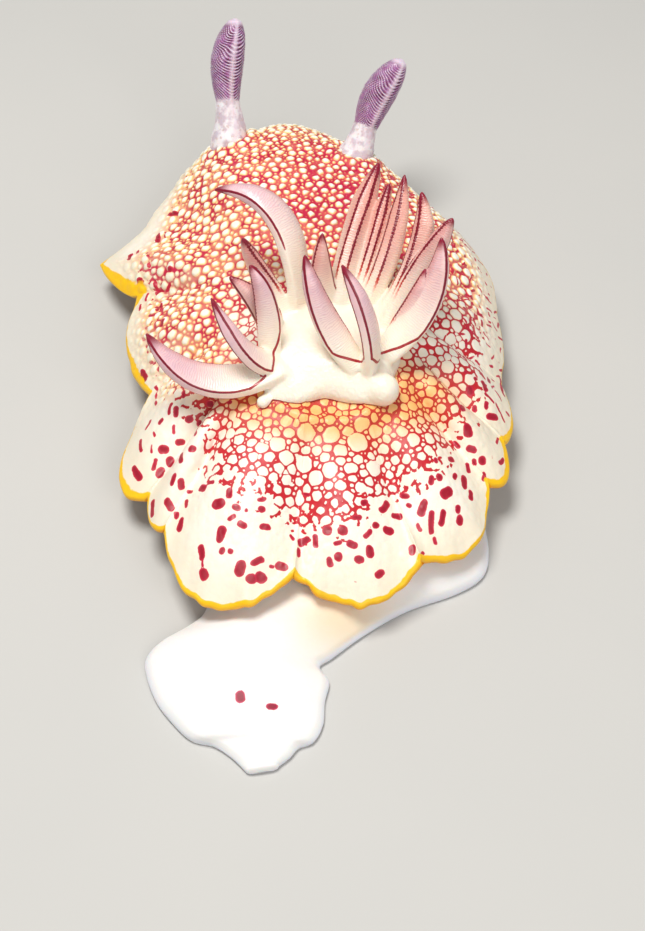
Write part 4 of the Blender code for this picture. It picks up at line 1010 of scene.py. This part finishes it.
# Each gill: its root and tip measured from the middle of the cup's top, how its middle bows away from
# a straight line, the bearing its keel faces, its width, and its thickness in the middle, at the keel
# and at the inner edge.
GILLS = (
    ("end_left", (-5.2, -2.2, -1.3), (-6.8, 0.8, 7.1), (0.5, 0.5, 0.9), 359, 2.1, 1.3, 0.60, 0.55),
    ("near_left", (-4.5, -2.4, -1.3), (-10.0, -1.6, 5.6), (0.2, -1.7, -0.9), 270, 2.5, 1.4, 0.90, 0.56),
    ("long_left", (-4.1, -3.2, -1.2), (-15.6, -2.7, 2.4), (-0.9, -1.6, -1.9), 248, 3.4, 1.4, 0.90, 0.70),
    ("low_left", (-5.0, 1.2, -1.2), (-8.6, 1.4, 5.1), (0.8, -0.5, 0.4), 204, 2.4, 1.4, 0.55, 0.60),
    ("side_left", (-4.0, 2.9, -1.1), (-7.5, 5.1, 6.1), (-0.3, 1.0, -0.4), 151, 2.3, 1.4, 0.70, 0.50),
    ("arched_left", (-2.6, 3.7, -1.1), (-10.1, 11.2, 6.1), (1.9, 1.1, 3.0), 245, 3.2, 1.5, 0.85, 0.58),
    ("front_short", (-0.2, 3.8, -1.3), (-0.6, 5.7, 6.1), (-0.3, -0.3, 0.0), 12, 2.2, 1.4, 0.70, 0.59),
    ("front_long", (0.9, 3.9, -1.3), (4.4, 13.6, 7.1), (-0.6, -0.7, 0.0), 73, 2.9, 2.3, 0.64, 0.85),
    ("front_hidden", (2.0, 4.1, -1.2), (5.3, 11.5, 6.6), (0.2, 0.0, 0.2), 75, 2.0, 1.6, 0.60, 0.60),
    ("front_right", (2.8, 3.6, -1.1), (6.6, 11.5, 7.6), (0.6, -1.0, -0.3), 53, 2.5, 2.0, 0.56, 0.85),
    ("side_right", (4.4, 2.3, -1.3), (8.0, 9.3, 7.6), (1.5, -0.2, 0.1), 42, 3.0, 2.2, 0.58, 0.58),
    ("far_right", (5.2, 0.5, -1.3), (10.6, 6.0, 7.6), (0.6, 1.2, 0.7), 12, 2.6, 1.4, 0.75, 0.56),
    ("low_right", (5.0, -0.7, -1.2), (8.2, 1.9, 5.6), (0.4, 0.0, 0.0), 350, 1.8, 1.4, 0.60, 0.55),
    ("broad_right", (4.7, -1.9, -1.0), (9.5, 3.1, 8.1), (1.4, 0.0, -0.2), 328, 2.8, 1.4, 0.55, 0.60),
    ("near_right", (3.4, -3.4, -1.2), (1.0, -0.2, 8.1), (1.1, -0.7, -0.2), 254, 2.8, 1.5, 0.80, 0.65),
    ("end_right", (2.5, -3.6, -1.0), (-2.1, 0.5, 8.6), (-0.7, -0.1, -0.2), 215, 2.5, 1.4, 0.63, 0.60),
)
GILL_ROOT_SHIFT = 0.25
GILL_ROOT_SINK = 0.9
GILL_WIDTHS = ((0.0, 0.85), (0.15, 0.95), (0.3, 1.0), (0.45, 0.93), (0.6, 0.80), (0.75, 0.62), (0.88, 0.40),
               (0.96, 0.22), (1.0, 0.08))
GILL_THIN_FROM = 0.6
GILL_STATIONS = 110
FACE_POINTS = 13
KEEL_SWELL = 0.05
INNER_SWELL = 0.03
THIRD = 0.33
print("gills:", len(GILLS))


# %% One gill
def gill_section(wide, thin, thicknesses):
    """Corners of a blade's section, outwards and sideways, with how far each is from the lines."""
    belly, keel, inner = (value * thin / 2 for value in thicknesses)
    swollen = wide / 2 + KEEL_SWELL * thin
    corners = [(wide / 2, keel), (swollen, keel * THIRD), (swollen, keel * -THIRD), (wide / 2, -keel)]
    keel_gap = [0.0, keel * (1 - THIRD), keel * (1 - THIRD), 0.0]
    fringe_gap = [wide] * 4
    for t in np.linspace(0, 1, FACE_POINTS)[1:]:
        swell = keel * (1 - t) + inner * t + (belly - (keel + inner) / 2) * math.sin(math.pi * t)
        corners.append((wide / 2 - wide * t, -swell))
        keel_gap.append(wide * t)
        fringe_gap.append(wide * (1 - t))
    for s in (-THIRD, THIRD):
        corners.append((-wide / 2 - INNER_SWELL * thin, inner * s))
        keel_gap.append(wide)
        fringe_gap.append(inner * (1 - THIRD))
    for t in np.linspace(0, 1, FACE_POINTS)[:-1]:
        swell = inner * (1 - t) + keel * t + (belly - (keel + inner) / 2) * math.sin(math.pi * t)
        corners.append((-wide / 2 + wide * t, swell))
        keel_gap.append(wide * (1 - t))
        fringe_gap.append(wide * t)
    return corners, keel_gap, fringe_gap


def gill_blade(root, tip, bow, facing, width, *thicknesses):
    """Rings of one gill, its marks, and the frame at each station."""
    top_of_cup = np.array([*CUP_TOP_CENTRE, CUP_TOP])
    keel_angle = math.radians(facing)
    keel = np.array([math.cos(keel_angle), math.sin(keel_angle), 0.0])
    root = top_of_cup + np.array(root)
    end = top_of_cup + np.array(tip)
    bend = (root + end) / 2 + np.array(bow) * 2
    shares, widths = np.array(GILL_WIDTHS).T
    rings, keel_gaps, fringe_gaps, shares_along, lengths, stops = [], [], [], [], [], []
    travelled, last = 0.0, root
    for k in range(GILL_STATIONS):
        t = k / (GILL_STATIONS - 1)
        centre = root * (1 - t) ** 2 + bend * 2 * t * (1 - t) + end * t * t
        along = unit((bend - root) * (1 - t) + (end - bend) * t)
        out = unit(keel - along * keel.dot(along))
        side = np.cross(along, out)
        travelled += float(np.linalg.norm(centre - last))
        last = centre
        wide = width * float(np.interp(t, shares, widths))
        thin = min(1.0, wide / (width * GILL_THIN_FROM))
        section, keel_gap, fringe_gap = gill_section(wide, thin, thicknesses)
        ring = np.array([centre + out * a + side * b for a, b in section])
        if k == 0:
            inwards = (top_of_cup - root) * np.array([GILL_ROOT_SHIFT, GILL_ROOT_SHIFT, 0.0])
            rings.append(ring + inwards - np.array([0.0, 0.0, GILL_ROOT_SINK]))
        rings.append(ring)
        for _ in range(2 if k == 0 else 1):
            keel_gaps += keel_gap
            fringe_gaps += fringe_gap
            shares_along += [t] * len(section)
            lengths += [travelled] * len(section)
        stops.append((centre, out, side, wide, thicknesses[1] * thin / 2))
    return np.array(rings), (keel_gaps, fringe_gaps, shares_along, lengths), stops


def closed_loft(rings):
    """Points and triangles of a closed body through rings of equal length."""
    levels, count = rings.shape[:2]
    points = np.concatenate([rings.reshape(-1, 3), [rings[0].mean(axis=0)], [rings[-1].mean(axis=0)]])
    faces = []
    for a, b, c, d in loft_faces(levels, count):
        faces += [(a, b, c), (a, c, d)]
    hub = levels * count
    base = (levels - 1) * count
    for k in range(count):
        after = (k + 1) % count
        faces.append((hub, k, after))
        faces.append((hub + 1, base + after, base + k))
    return points, np.array(faces)


# %% Cup and bulb
CUP_ROWS = ((POCKET_FLOOR + 0.3, 0.0, 0.97), (POCKET_FLOOR + 1.2, 0.0, 1.0), (POCKET_FLOOR + 2.2, 0.5, 0.95),
            (CUP_TOP - 1.0, 1.0, 0.88), (CUP_TOP - 0.5, 1.0, 0.72), (CUP_TOP - 0.2, 1.0, 0.52),
            (CUP_TOP - 0.05, 1.0, 0.30), (CUP_TOP, 1.0, 0.08))


def cup_rings(steps=60, count=160):
    rings = []
    turn = np.linspace(0, 2 * math.pi, count, endpoint=False)
    for height, blend, share in flow(CUP_ROWS, steps):
        centre = np.array(PLUME_CENTRE) * (1 - blend) + np.array(CUP_TOP_CENTRE) * blend
        radii = np.full(2, PLUME_RADIUS) * (1 - blend) + np.array(CUP_TOP_RADII) * blend
        outline = round_curve(CUP_OUTLINE, np.degrees(turn)) - 1
        uneven = 1 + outline * (1 - 0.6 * blend) + 0.012 * np.sin(turn * 5 + 1) + 0.010 * np.sin(turn * 9 + 2)
        rings.append(np.column_stack([centre[0] + radii[0] * share * uneven * np.cos(turn),
                                      centre[1] + radii[1] * share * uneven * np.sin(turn),
                                      np.full(count, height)]))
    return np.array(rings)


def ball_rings(centre, radius, steps=24, count=48):
    turn = np.linspace(0, 2 * math.pi, count, endpoint=False)
    rings = []
    for t in np.linspace(0.04, 0.96, steps):
        wide = radius * math.sin(math.pi * t)
        rings.append(np.column_stack([centre[0] + wide * np.cos(turn), centre[1] + wide * np.sin(turn),
                                      np.full(count, centre[2] - radius * math.cos(math.pi * t))]))
    return np.array(rings)


# %% Build the parts of the plume
NO_LINE = 9.0
LINE_LIFT = 0.3          # the line is gone where its mark is raised by this, towards the root
LINE_FADE = (0.12, 0.25)
balls = ((BULB_CENTRE, BULB_RADIUS), (DRIP_CENTRE, DRIP_RADIUS))
shapes = [(*closed_loft(rings), None) for rings in [cup_rings()] + [ball_rings(*ball) for ball in balls]]
gill_stops = {}
for name, *measures in GILLS:
    rings, (keel_gaps, *other_marks), gill_stops[name] = gill_blade(*measures)
    if name not in TURNING:
        from_root = smooth_step((np.array(other_marks[1]) - LINE_FADE[0]) / LINE_FADE[1])
        keel_gaps = np.array(keel_gaps) + LINE_LIFT * (1 - from_root)
    peach = [PEACH_GILLS.get(name, 0.0)] * len(keel_gaps)
    shapes.append((*closed_loft(rings), (list(keel_gaps), *other_marks, peach)))


def joined(shapes):
    """One array of points, faces and marks from several closed shapes."""
    points, faces, kept = [], [], []
    start = 0
    for shape_points, shape_faces, shape_marks in shapes:
        points.append(shape_points)
        faces.append(shape_faces + start)
        if shape_marks is None:
            kept.append(np.tile([[NO_LINE], [NO_LINE], [0.0], [0.0], [0.0]], (1, len(shape_points))))
        else:
            kept.append(np.array([[*row, row[0], row[-1]] for row in shape_marks]))
        start += len(shape_points)
    return np.concatenate(points), np.concatenate(faces), np.concatenate(kept, axis=1)


raw_points, raw_faces, raw_marks = joined(shapes)
print("shapes to melt together:", len(shapes), "with", len(raw_faces), "triangles")


# %% Melt the shapes together
def melt(points, faces, grain):
    """Union of overlapping closed shapes on a voxel grid, given and returned in millimetres."""
    mesh = bpy.data.meshes.new("melt")
    mesh.from_pydata(points.tolist(), [], faces.tolist())
    thing = bpy.data.objects.new("melt", mesh)
    bpy.context.scene.collection.objects.link(thing)
    step = thing.modifiers.new("melt", "REMESH")
    step.mode = "VOXEL"
    step.voxel_size = grain
    result = bpy.data.meshes.new_from_object(thing.evaluated_get(bpy.context.evaluated_depsgraph_get()))
    found = np.zeros(len(result.vertices) * 3)
    result.vertices.foreach_get("co", found)
    corners = [tuple(face.vertices) for face in result.polygons]
    bpy.data.objects.remove(thing, do_unlink=True)
    bpy.data.meshes.remove(result)
    return found.reshape(-1, 3), corners


def soften(points, faces, strength, rounds):
    """Even out a mesh by moving each point towards its neighbours, by its own strength."""
    edges = np.array([(face[k], face[(k + 1) % len(face)]) for face in faces for k in range(len(face))])
    count = np.bincount(edges[:, 0], minlength=len(points))
    for _ in range(rounds):
        middle = np.stack([np.bincount(edges[:, 0], points[edges[:, 1], axis], minlength=len(points))
                           for axis in range(3)], axis=1) / np.maximum(count, 1)[:, None]
        points = points + (middle - points) * strength[:, None]
    return points


GRAIN = 0.11
plume_points, plume_faces = melt(raw_points, raw_faces, GRAIN)
print("melted plume:", len(plume_points), "points")

# %% Carry the marks across
ROOT_ZONE = (0.10, 0.22)
CUP_ZONE = 0.02
BLADE_SOFTENING, ROOT_SOFTENING, CUP_SOFTENING = 0.10, 0.40, 0.5

surface = BVHTree.FromPolygons(raw_points.tolist(), raw_faces.tolist())
places, which = [], []
for point in plume_points.tolist():
    place, _, face, _ = surface.find_nearest(point)
    places.append(place)
    which.append(face)
places, corners = np.array(places), raw_faces[which]

# Each new point lies in a triangle of the old shapes, so its marks are a weighted mean of the corners'.
a, b, c = (raw_points[corners[:, k]] for k in range(3))
v0, v1, v2 = b - a, c - a, places - a
d00, d01, d11 = (v0 * v0).sum(1), (v0 * v1).sum(1), (v1 * v1).sum(1)
d20, d21 = (v2 * v0).sum(1), (v2 * v1).sum(1)
low = np.maximum(d00 * d11 - d01 * d01, 1e-12)
second, third = (d11 * d20 - d01 * d21) / low, (d00 * d21 - d01 * d20) / low
weights = np.clip(np.stack([1 - second - third, second, third], axis=1), 0, 1)
keel_gap, fringe_gap, gill_share, gill_along, gill_peach = (
    (raw_marks[k][corners] * weights).sum(1) for k in range(5))
root_zone = 1 - smooth_step((gill_share - ROOT_ZONE[0]) / ROOT_ZONE[1])
plume_points = soften(plume_points, plume_faces, BLADE_SOFTENING + ROOT_SOFTENING * root_zone, 10)
cup_zone = gill_share < CUP_ZONE
plume_points = soften(plume_points, plume_faces, CUP_SOFTENING * cup_zone, 40)
print("deepest share along a gill:", round(float(gill_share.max()), 2))

# %% [markdown]
# At the root the dark line along one keel turns in a U and comes back up the next gill. Each turn is
# a curve laid on the melted surface, and the paint follows the distance to it.

# %% U-shaped turns between neighbouring gills
TURN_START = 0.22
TURN_REACH = 0.16
TURN_SIGHT = Vector((0.0, -math.cos(LOOK_DOWN), math.sin(LOOK_DOWN)))
TURN_STAND_OFF = 30.0
TURN_EASING = 20
melted = BVHTree.FromPolygons(plume_points.tolist(), plume_faces)
plume_places = plume_points.tolist()
steps_from = {}
for face in plume_faces:
    for here in face:
        steps_from.setdefault(here, set()).update(face)


def walk(start, goal):
    """The shortest way over the skin's points between two of them."""
    best, came, queue = {start: 0.0}, {}, [(0.0, start)]
    while queue[0][1] != goal:
        length, here = heapq.heappop(queue)
        for there in sorted(steps_from[here]):
            longer = length + math.dist(plume_places[here], plume_places[there])
            if longer < best.get(there, math.inf):
                best[there], came[there] = longer, here
                heapq.heappush(queue, (longer, there))
    way = [goal]
    while way[-1] != start:
        way.append(came[way[-1]])
    return way[::-1]


def bend_between(first, second, lowest):
    """A curve on the skin from one gill's keel line down to a lowest point and up to the next one's."""
    k = int(TURN_START * GILL_STATIONS)
    centre_a, out_a, side_a, wide_a, keel_a = first[k]
    centre_b, out_b, side_b, wide_b, keel_b = second[k]
    seen = melted.ray_cast(Vector(lowest) + TURN_SIGHT * TURN_STAND_OFF, -TURN_SIGHT)[2]
    corners = (centre_a + out_a * wide_a / 2 - side_a * keel_a, centre_b + out_b * wide_b / 2 + side_b * keel_b)
    start, end = (melted.find_nearest(Vector(corner))[2] for corner in corners)
    start, middle, end = (plume_faces[face][0] for face in (start, seen, end))
    curve = plume_points[walk(start, middle) + walk(middle, end)[1:]]
    for _ in range(TURN_EASING):
        curve[1:-1] = (curve[:-2] + 2 * curve[1:-1] + curve[2:]) / 4
    return np.array([melted.find_nearest(Vector(point))[0] for point in flow(curve, 4 * len(curve))])


turn_points = np.concatenate([bend_between(gill_stops[a], gill_stops[b], at) for a, b, at in TURNS])
print("points along the turns:", len(turn_points))
turn_tree = tree_of(turn_points)
turn_gap = np.full(len(plume_points), NO_LINE)
low_part = np.nonzero(gill_share < TURN_START + TURN_REACH)[0]
turn_gap[low_part] = [turn_tree.find(point)[2] for point in plume_points[low_part].tolist()]
keel_here = np.where(gill_share > TURN_START, keel_gap, NO_LINE)
line = np.minimum(keel_here, turn_gap)

# A thin dark line also follows the foot of the cup behind, where it meets the mantle: partly a dark red line of
# the skin and partly painted shade in the crease.
CONTACT_LOWEST = 9.5
CONTACT_BEHIND = -2
back = BVHTree.FromPolygons(skin_points.tolist(), top_faces.tolist())
behind_cup = (plume_points[:, 1] < CONTACT_BEHIND) & (plume_points[:, 2] > CONTACT_LOWEST)
foot_of_cup = np.nonzero(cup_zone & behind_cup)[0]
contact_gap = [back.find_nearest(point)[3] for point in plume_points[foot_of_cup].tolist()]
line[foot_of_cup] = np.minimum(line[foot_of_cup], contact_gap)
gill_plume = make_piece("gill_plume_skin", plume_points, plume_faces, {
    "line": line, "fringe": fringe_gap, "share": gill_share, "along": gill_along, "keel": keel_gap,
    "peach": gill_peach})

# %% Gill finish
FOLD_WIDTH = 0.21
TOOTH_WIDTH = 0.34

gill = Finish("gill flesh", 0.30, glow=0.35, glow_reach=0.7)
share_mark, fringe_mark = gill.mark("share"), gill.mark("fringe")
cream = gill.mottle(2.5, (255, 251, 240), (255, 238, 214))
lilac_leaf = gill.mottle(0.9, (246, 208, 208), (222, 184, 200))
peach_leaf = gill.mottle(0.9, (248, 206, 182), (236, 180, 166))
leaf = gill.mix(gill.mark("peach"), lilac_leaf, peach_leaf)
face = gill.mix(gill.ease(share_mark, 0.12, 0.80), cream, leaf)

# Fine folds run across the faces, which flush towards the inner edge.
wander = gill.sum("MULTIPLY_ADD", gill.noise(0.7), 0.5, gill.mark("along"))
folds = gill.sum("SINE", gill.times(wander, 2 * math.pi / FOLD_WIDTH))
folds = gill.times(folds, gill.ease(gill.mark("keel"), 0.15, 0.5))
folds_here = gill.times(gill.ease(folds, 0.0, 1.2), gill.ease(share_mark, 0.15, 0.5, 0.05, 0.30))
face = gill.mix(folds_here, face, shade(190, 130, 158))
flush = gill.times(gill.ease(fringe_mark, 0.8, 0.0, 0.0, 0.42), gill.ease(share_mark, 0.12, 0.5))
face = gill.mix(flush, face, shade(204, 96, 96))

# The fringe has teeth, and the tip and the lines of the keel are dark.
tooth = gill.ease(gill.sum("SINE", gill.times(wander, 2 * math.pi / TOOTH_WIDTH)), -0.4, 1.0, 0.0, 0.045)
fringe_wide = gill.sum("ADD", tooth, gill.sum("MULTIPLY_ADD", gill.noise(0.8), 0.12, 0.03))
fringe_here = gill.ease(gill.sum("SUBTRACT", fringe_wide, fringe_mark), -0.02, 0.02)
fringe_here = gill.times(fringe_here, gill.ease(share_mark, 0.16, 0.30))
fringe_colour = gill.mix(gill.ease(share_mark, 0.20, 0.40), shade(218, 70, 44), shade(128, 4, 34))
colour = gill.mix(fringe_here, face, fringe_colour)
# The same dark paint draws the keel lines and the line at the foot of the cup, which is partly painted shade.
line_colour = gill.mix(gill.ease(share_mark, 0.1, 0.5), shade(172, 40, 46), shade(132, 14, 44))
colour = gill.mix(gill.ease(gill.uneven("line", 0.3, 0.05), 0.14, 0.10), colour, line_colour)
colour = gill.mix(gill.ease(share_mark, 0.87, 0.98), colour, shade(138, 12, 48))
gill.bump(folds, 0.30, 0.04)
gill_plume.data.materials.append(gill.paint(colour))

# %% [markdown]
# ## The rhinophores
# These are the slug's organs of smell: a pale mottled stalk with a club of thin slanting leaves. A
# stack of rings with a saw-toothed radius gives the leaves, and each leaf drops towards the seam at
# the back, where a pale line runs up the club.

# %% Rhinophores
STALK_RADIUS = 1.4
STALK_SHARE = 0.32
STALK_PROFILE = ((0.0, 1.30), (0.35, 1.10), (0.75, 0.90), (1.0, 0.84))
CLUB_RADIUS = 1.68
CLUB_PROFILE = ((0.0, 0.70), (0.17, 0.84), (0.35, 0.96), (0.52, 1.0), (0.70, 0.92), (0.82, 0.77),
                (0.92, 0.56), (0.97, 0.36), (1.0, 0.08))
CLUB_BOW = (-0.6, 0.0, 0.0)
BOW_START = 0.15
LEAVES = 26
LEAF_DEPTH = 0.15
LEAF_DROP = 2.9
LEAF_UNEVEN = 0.55
STALK_WEDGE = 0.07
STALK_SINK = 0.1
STALK_STEPS, CLUB_STEPS, POINTS_ROUND = 50, 330, 72
SEAM_TURN = {"rhinophore_left": 62.0, "rhinophore_right": 30.0}


def rhinophore(name, foot_point, tip):
    foot_point, tip = np.array(foot_point), np.array(tip)
    length = float(np.linalg.norm(tip - foot_point))
    axis = (tip - foot_point) / length
    aside = unit(np.cross(axis, (0.0, 0.0, 1.0)))
    ahead = np.cross(aside, axis)
    turn = np.linspace(0, 2 * math.pi, POINTS_ROUND, endpoint=False)
    outward = aside * np.cos(turn)[:, None] + ahead * np.sin(turn)[:, None]
    seam = math.radians(SEAM_TURN[name])
    from_seam = np.abs((turn - seam + math.pi) % (2 * math.pi) - math.pi) / math.pi
    rings, leaf, tall, seam_mark = [], [], [], []
    club = length * (1 - STALK_SHARE)
    stalk_shares, stalk_radii = np.array(STALK_PROFILE).T
    club_shares, club_radii = np.array(CLUB_PROFILE).T
    stalk_steps = np.linspace(-STALK_SINK, STALK_SHARE, STALK_STEPS)[:-1]
    for t in np.concatenate([stalk_steps, np.linspace(STALK_SHARE, 1, CLUB_STEPS)]):
        up = t * length
        if t < STALK_SHARE:
            radius = STALK_RADIUS * np.interp(t / STALK_SHARE, stalk_shares, stalk_radii)
            radius = radius * (1 + 0.015 * np.sin(up * 5 + np.cos(turn)))
            edge = np.zeros(POINTS_ROUND)
        else:
            s = (t - STALK_SHARE) / (1 - STALK_SHARE)
            plain = CLUB_RADIUS * np.interp(s, club_shares, club_radii)
            lag = LEAF_DROP / club * (1 - np.cos(math.pi * from_seam)) / 2
            unsteady = LEAF_UNEVEN * np.sin(9 * s + 3 * np.cos(turn + s * 4))
            phase = (s - lag + LEAF_DROP / club) * LEAVES + unsteady
            tooth = 1 - np.abs(phase % 1 - 0.6) / np.where(phase % 1 < 0.6, 0.6, 0.4)
            edge = np.clip(tooth, 0, 1) * smooth_step(s / 0.05) * smooth_step((0.94 - s) / 0.06)
            deep = LEAF_DEPTH * smooth_step(from_seam / 0.12)
            radius = plain * (1 - deep * (1 - edge) * smooth_step(s / 0.06) * smooth_step((0.96 - s) / 0.1))
        bow = math.sin(math.pi * max(t - BOW_START, 0) / (1 - BOW_START))
        centre = foot_point + axis * up + np.array(CLUB_BOW) * bow
        rings.append(centre + radius[:, None] * outward)
        leaf.append(edge)
        tall.append(t - STALK_WEDGE * (1 - from_seam) * (t < 0.6))
        seam_mark.append(1 - smooth_step(from_seam / 0.10))
    points, faces = closed_loft(np.array(rings))
    ends = lambda rows: np.concatenate([*rows, [rows[0][0], rows[-1][0]]])
    flipped = faces[:, ::-1].tolist()
    return make_piece(name + "_skin", points, flipped,
                      {"leaf": ends(leaf), "tall": ends(tall), "seam": ends(seam_mark)})


rhinophores = {name: rhinophore(name, foot_point, tip) for name, foot_point, tip in RHINOPHORES}

# %% Rhinophore finish
horn = Finish("rhinophore leaves", 0.32, glow=0.35, glow_reach=0.6)
horn.shader.inputs["Sheen Weight"].default_value = 0.35
horn.shader.inputs["Sheen Tint"].default_value = shade(240, 225, 245)
stalk = horn.mottle(0.8, (240, 236, 240), (206, 192, 204), 0.38, 0.62)
stalk = horn.mix(horn.ease(horn.noise(0.35), 0.55, 0.70, 0.0, 0.5), stalk, shade(196, 164, 150))
groove = horn.mottle(0.9, (112, 32, 92), (164, 108, 160), 0.35, 0.65)
edge_of_leaf = horn.mottle(0.6, (236, 222, 238), (176, 122, 172), 0.35, 0.65)
leaf_mark = horn.uneven("leaf", 0.6, 1.0)
club = horn.mix(horn.ease(leaf_mark, 0.25, 0.85), groove, edge_of_leaf)
club = horn.mix(horn.ease(leaf_mark, 0.22, -0.05), club, shade(104, 22, 72))
club = horn.mix(horn.ease(horn.mark("tall"), 0.92, 0.98), club, shade(226, 208, 228))
wedge_mark = horn.uneven("tall", 0.5, 0.05)
colour = horn.mix(horn.ease(wedge_mark, STALK_SHARE - 0.05, STALK_SHARE - 0.01), stalk, club)
colour = horn.mix(horn.times(horn.mark("seam"), 0.6), colour, shade(238, 226, 238))
horn.bump(horn.noise(0.25, 3.0), 0.3, 0.04)
horn_material = horn.paint(colour)
for piece in rhinophores.values():
    piece.data.materials.append(horn_material)

# %% [markdown]
# ## Snout, mouth and feelers
# They are hidden under the front of the mantle, but the model is looked at from all sides. The snout
# is a soft cushion with a ring of lips, and the mouth is a slit in the middle of the ring. A feeler
# stands on each side. They are melted together as the plume is.

# %% Head below the mantle
SNOUT_CENTRE = (-1.7, 29.6, 2.9)
SNOUT_RADII = (4.6, 4.1, 1.3)
LIP_CENTRE = (-0.8, 33.35, 2.75)
HEAD_TURN = -13.0
LIP_PROFILE = ((-1.2, 0.85), (-0.4, 0.90), (0.05, 0.92), (0.30, 0.84), (0.42, 0.68), (0.40, 0.54),
               (0.22, 0.40), (-0.1, 0.30), (-0.5, 0.22))
TENTACLE_ROOTS = (("oral_tentacle_left", (-5.1, 32.0, 2.8), 42.0),
                  ("oral_tentacle_right", (3.0, 30.1, 2.8), -62.0))
TENTACLE_LENGTH = 3.4
TENTACLE_RADIUS = 0.8
TENTACLE_TIP_RADIUS = 0.3
TENTACLE_DIP = -0.05
TENTACLE_END = ((0.96, 0.8), (0.99, 0.5), (1.0, 0.2))
HEAD_GRAIN = 0.12


def rings_along(start, heading, profile, count=40, squash=None):
    """Rings round a straight line, from (distance, radius) rows, with an optional flattening."""
    heading = unit(np.array(heading, float))
    aside = unit(np.cross(heading, (0.0, 0.0, 1.0)))
    upward = np.cross(aside, heading)
    turn = np.linspace(0, 2 * math.pi, count, endpoint=False)
    rings = []
    for number, (distance, radius) in enumerate(profile):
        flat = 1.0 if squash is None else squash[number]
        rings.append(np.array(start) + heading * distance
                     + radius * (aside * np.cos(turn)[:, None] + flat * upward * np.sin(turn)[:, None]))
    return np.array(rings)


snout_rings = ball_rings((0, 0, 0), 1.0, 30, 80) * np.array(SNOUT_RADII) + np.array(SNOUT_CENTRE)
head_angle = math.radians(HEAD_TURN)
lip_heading = (-math.sin(head_angle), math.cos(head_angle), -0.25)
lip_rows = flow(LIP_PROFILE, 40)
slit = np.interp(lip_rows[:, 1] + 10 * (lip_rows[:, 0] < -1), (0.22, 0.45, 0.7), (0.25, 0.5, 1.0))
lip_rings = rings_along(LIP_CENTRE, lip_heading, lip_rows, 60, slit)
head_shapes = [(*closed_loft(snout_rings), None), (*closed_loft(lip_rings), None)]
for name, root, turn in TENTACLE_ROOTS:
    angle = math.radians(turn)
    profile = [(t * TENTACLE_LENGTH, TENTACLE_RADIUS + (TENTACLE_TIP_RADIUS - TENTACLE_RADIUS) * max(t, 0))
               for t in np.linspace(-0.3, 0.92, 30)]
    profile += [(TENTACLE_LENGTH * t, TENTACLE_TIP_RADIUS * r) for t, r in TENTACLE_END]
    heading = (-math.sin(angle), math.cos(angle), TENTACLE_DIP)
    head_shapes.append((*closed_loft(rings_along(root, heading, profile)), None))
head_raw, head_faces, _ = joined(head_shapes)
head_points, head_faces = melt(head_raw, head_faces, HEAD_GRAIN)
head_points = soften(head_points, head_faces, np.full(len(head_points), 0.4), 6)
head_points[:, 2] += 0.03 * ripple(head_points, 0.8, 60)
snout = make_piece("snout_and_feelers", head_points, head_faces, {
    "edge": np.full(len(head_points), 1.0), "spot": np.full(len(head_points), -1.0),
    "cream": np.zeros(len(head_points))})
snout.data.materials.append(white.material)

# %% [markdown]
# ## Floor and light
# The animal stands on a plain pale floor under soft studio light. A large lamp above and a little to
# the left gives the form its shading, a weaker one behind it on the right opens the shadows, and a
# pale sky fills the rest.

# %% Floor and lamps
FLOOR_HALF = 2000
FLOOR_DROP = 0.02        # in mm, so that the sole and the floor don't share one plane
floor_corners = [(x * FLOOR_HALF, y * FLOOR_HALF, -FLOOR_DROP) for x, y in ((-1, -1), (1, -1), (1, 1), (-1, 1))]
floor = make_piece("floor", floor_corners, [(0, 1, 2, 3)])
paper = Finish("pale floor", 0.8, glow=0.0, coat=0.0)
floor.data.materials.append(paper.paint(paper.mottle(30.0, (204, 203, 200), (198, 198, 196))))


def lamp(name, place, aim, size, power, colour=(1, 1, 1)):
    data = bpy.data.lights.new(name, "AREA")
    data.shape = "DISK"
    data.size = size * MM
    data.energy = power
    data.color = colour
    light = bpy.data.objects.new(name, data)
    light.location = Vector(place) * MM
    light.rotation_euler = (Vector(aim) - Vector(place)).to_track_quat("-Z", "Y").to_euler()
    bpy.context.scene.collection.objects.link(light)


lamp("key", (-50, 10, 265), (0, 0, 8), 110, 0.60, (1.0, 0.98, 0.94))
lamp("fill", (90, -200, 170), (0, -10, 6), 160, 0.21, (1.0, 0.98, 0.96))
world = bpy.data.worlds.new("pale sky")
world.use_nodes = True
world.node_tree.nodes["Background"].inputs["Color"].default_value = (1.0, 0.985, 0.96, 1.0)
world.node_tree.nodes["Background"].inputs["Strength"].default_value = 0.30
bpy.context.scene.world = world
bpy.context.scene.view_settings.view_transform = "Standard"

# %% [markdown]
# ## Hand over to the frame
# Each skin hides the solids that it stands for and rides on the one body of this still model.

# %% Ride and replace
MANTLE_NODES = ("head", "back_front", "back_rear", "skirt_left_front", "skirt_left", "skirt_left_rear",
                "skirt_rear_left", "skirt_rear_middle", "skirt_rear_right", "skirt_right_rear",
                "skirt_right_front")
FOOT_NODES = ("foot_front", "foot_middle", "foot_rear", "tail")
dressed = [(mantle_skin, "mantle", MANTLE_NODES), (foot_skin, "foot", FOOT_NODES),
           (gill_plume, "gill", ("gill_plume",)),
           (snout, "foot", tuple(name for name, _, _ in TENTACLE_ROOTS))]
dressed += [(piece, "rhinophore", (name,)) for name, piece in rhinophores.items()]
for piece, slot, nodes in dressed:
    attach(piece, "root")
    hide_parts(*nodes)
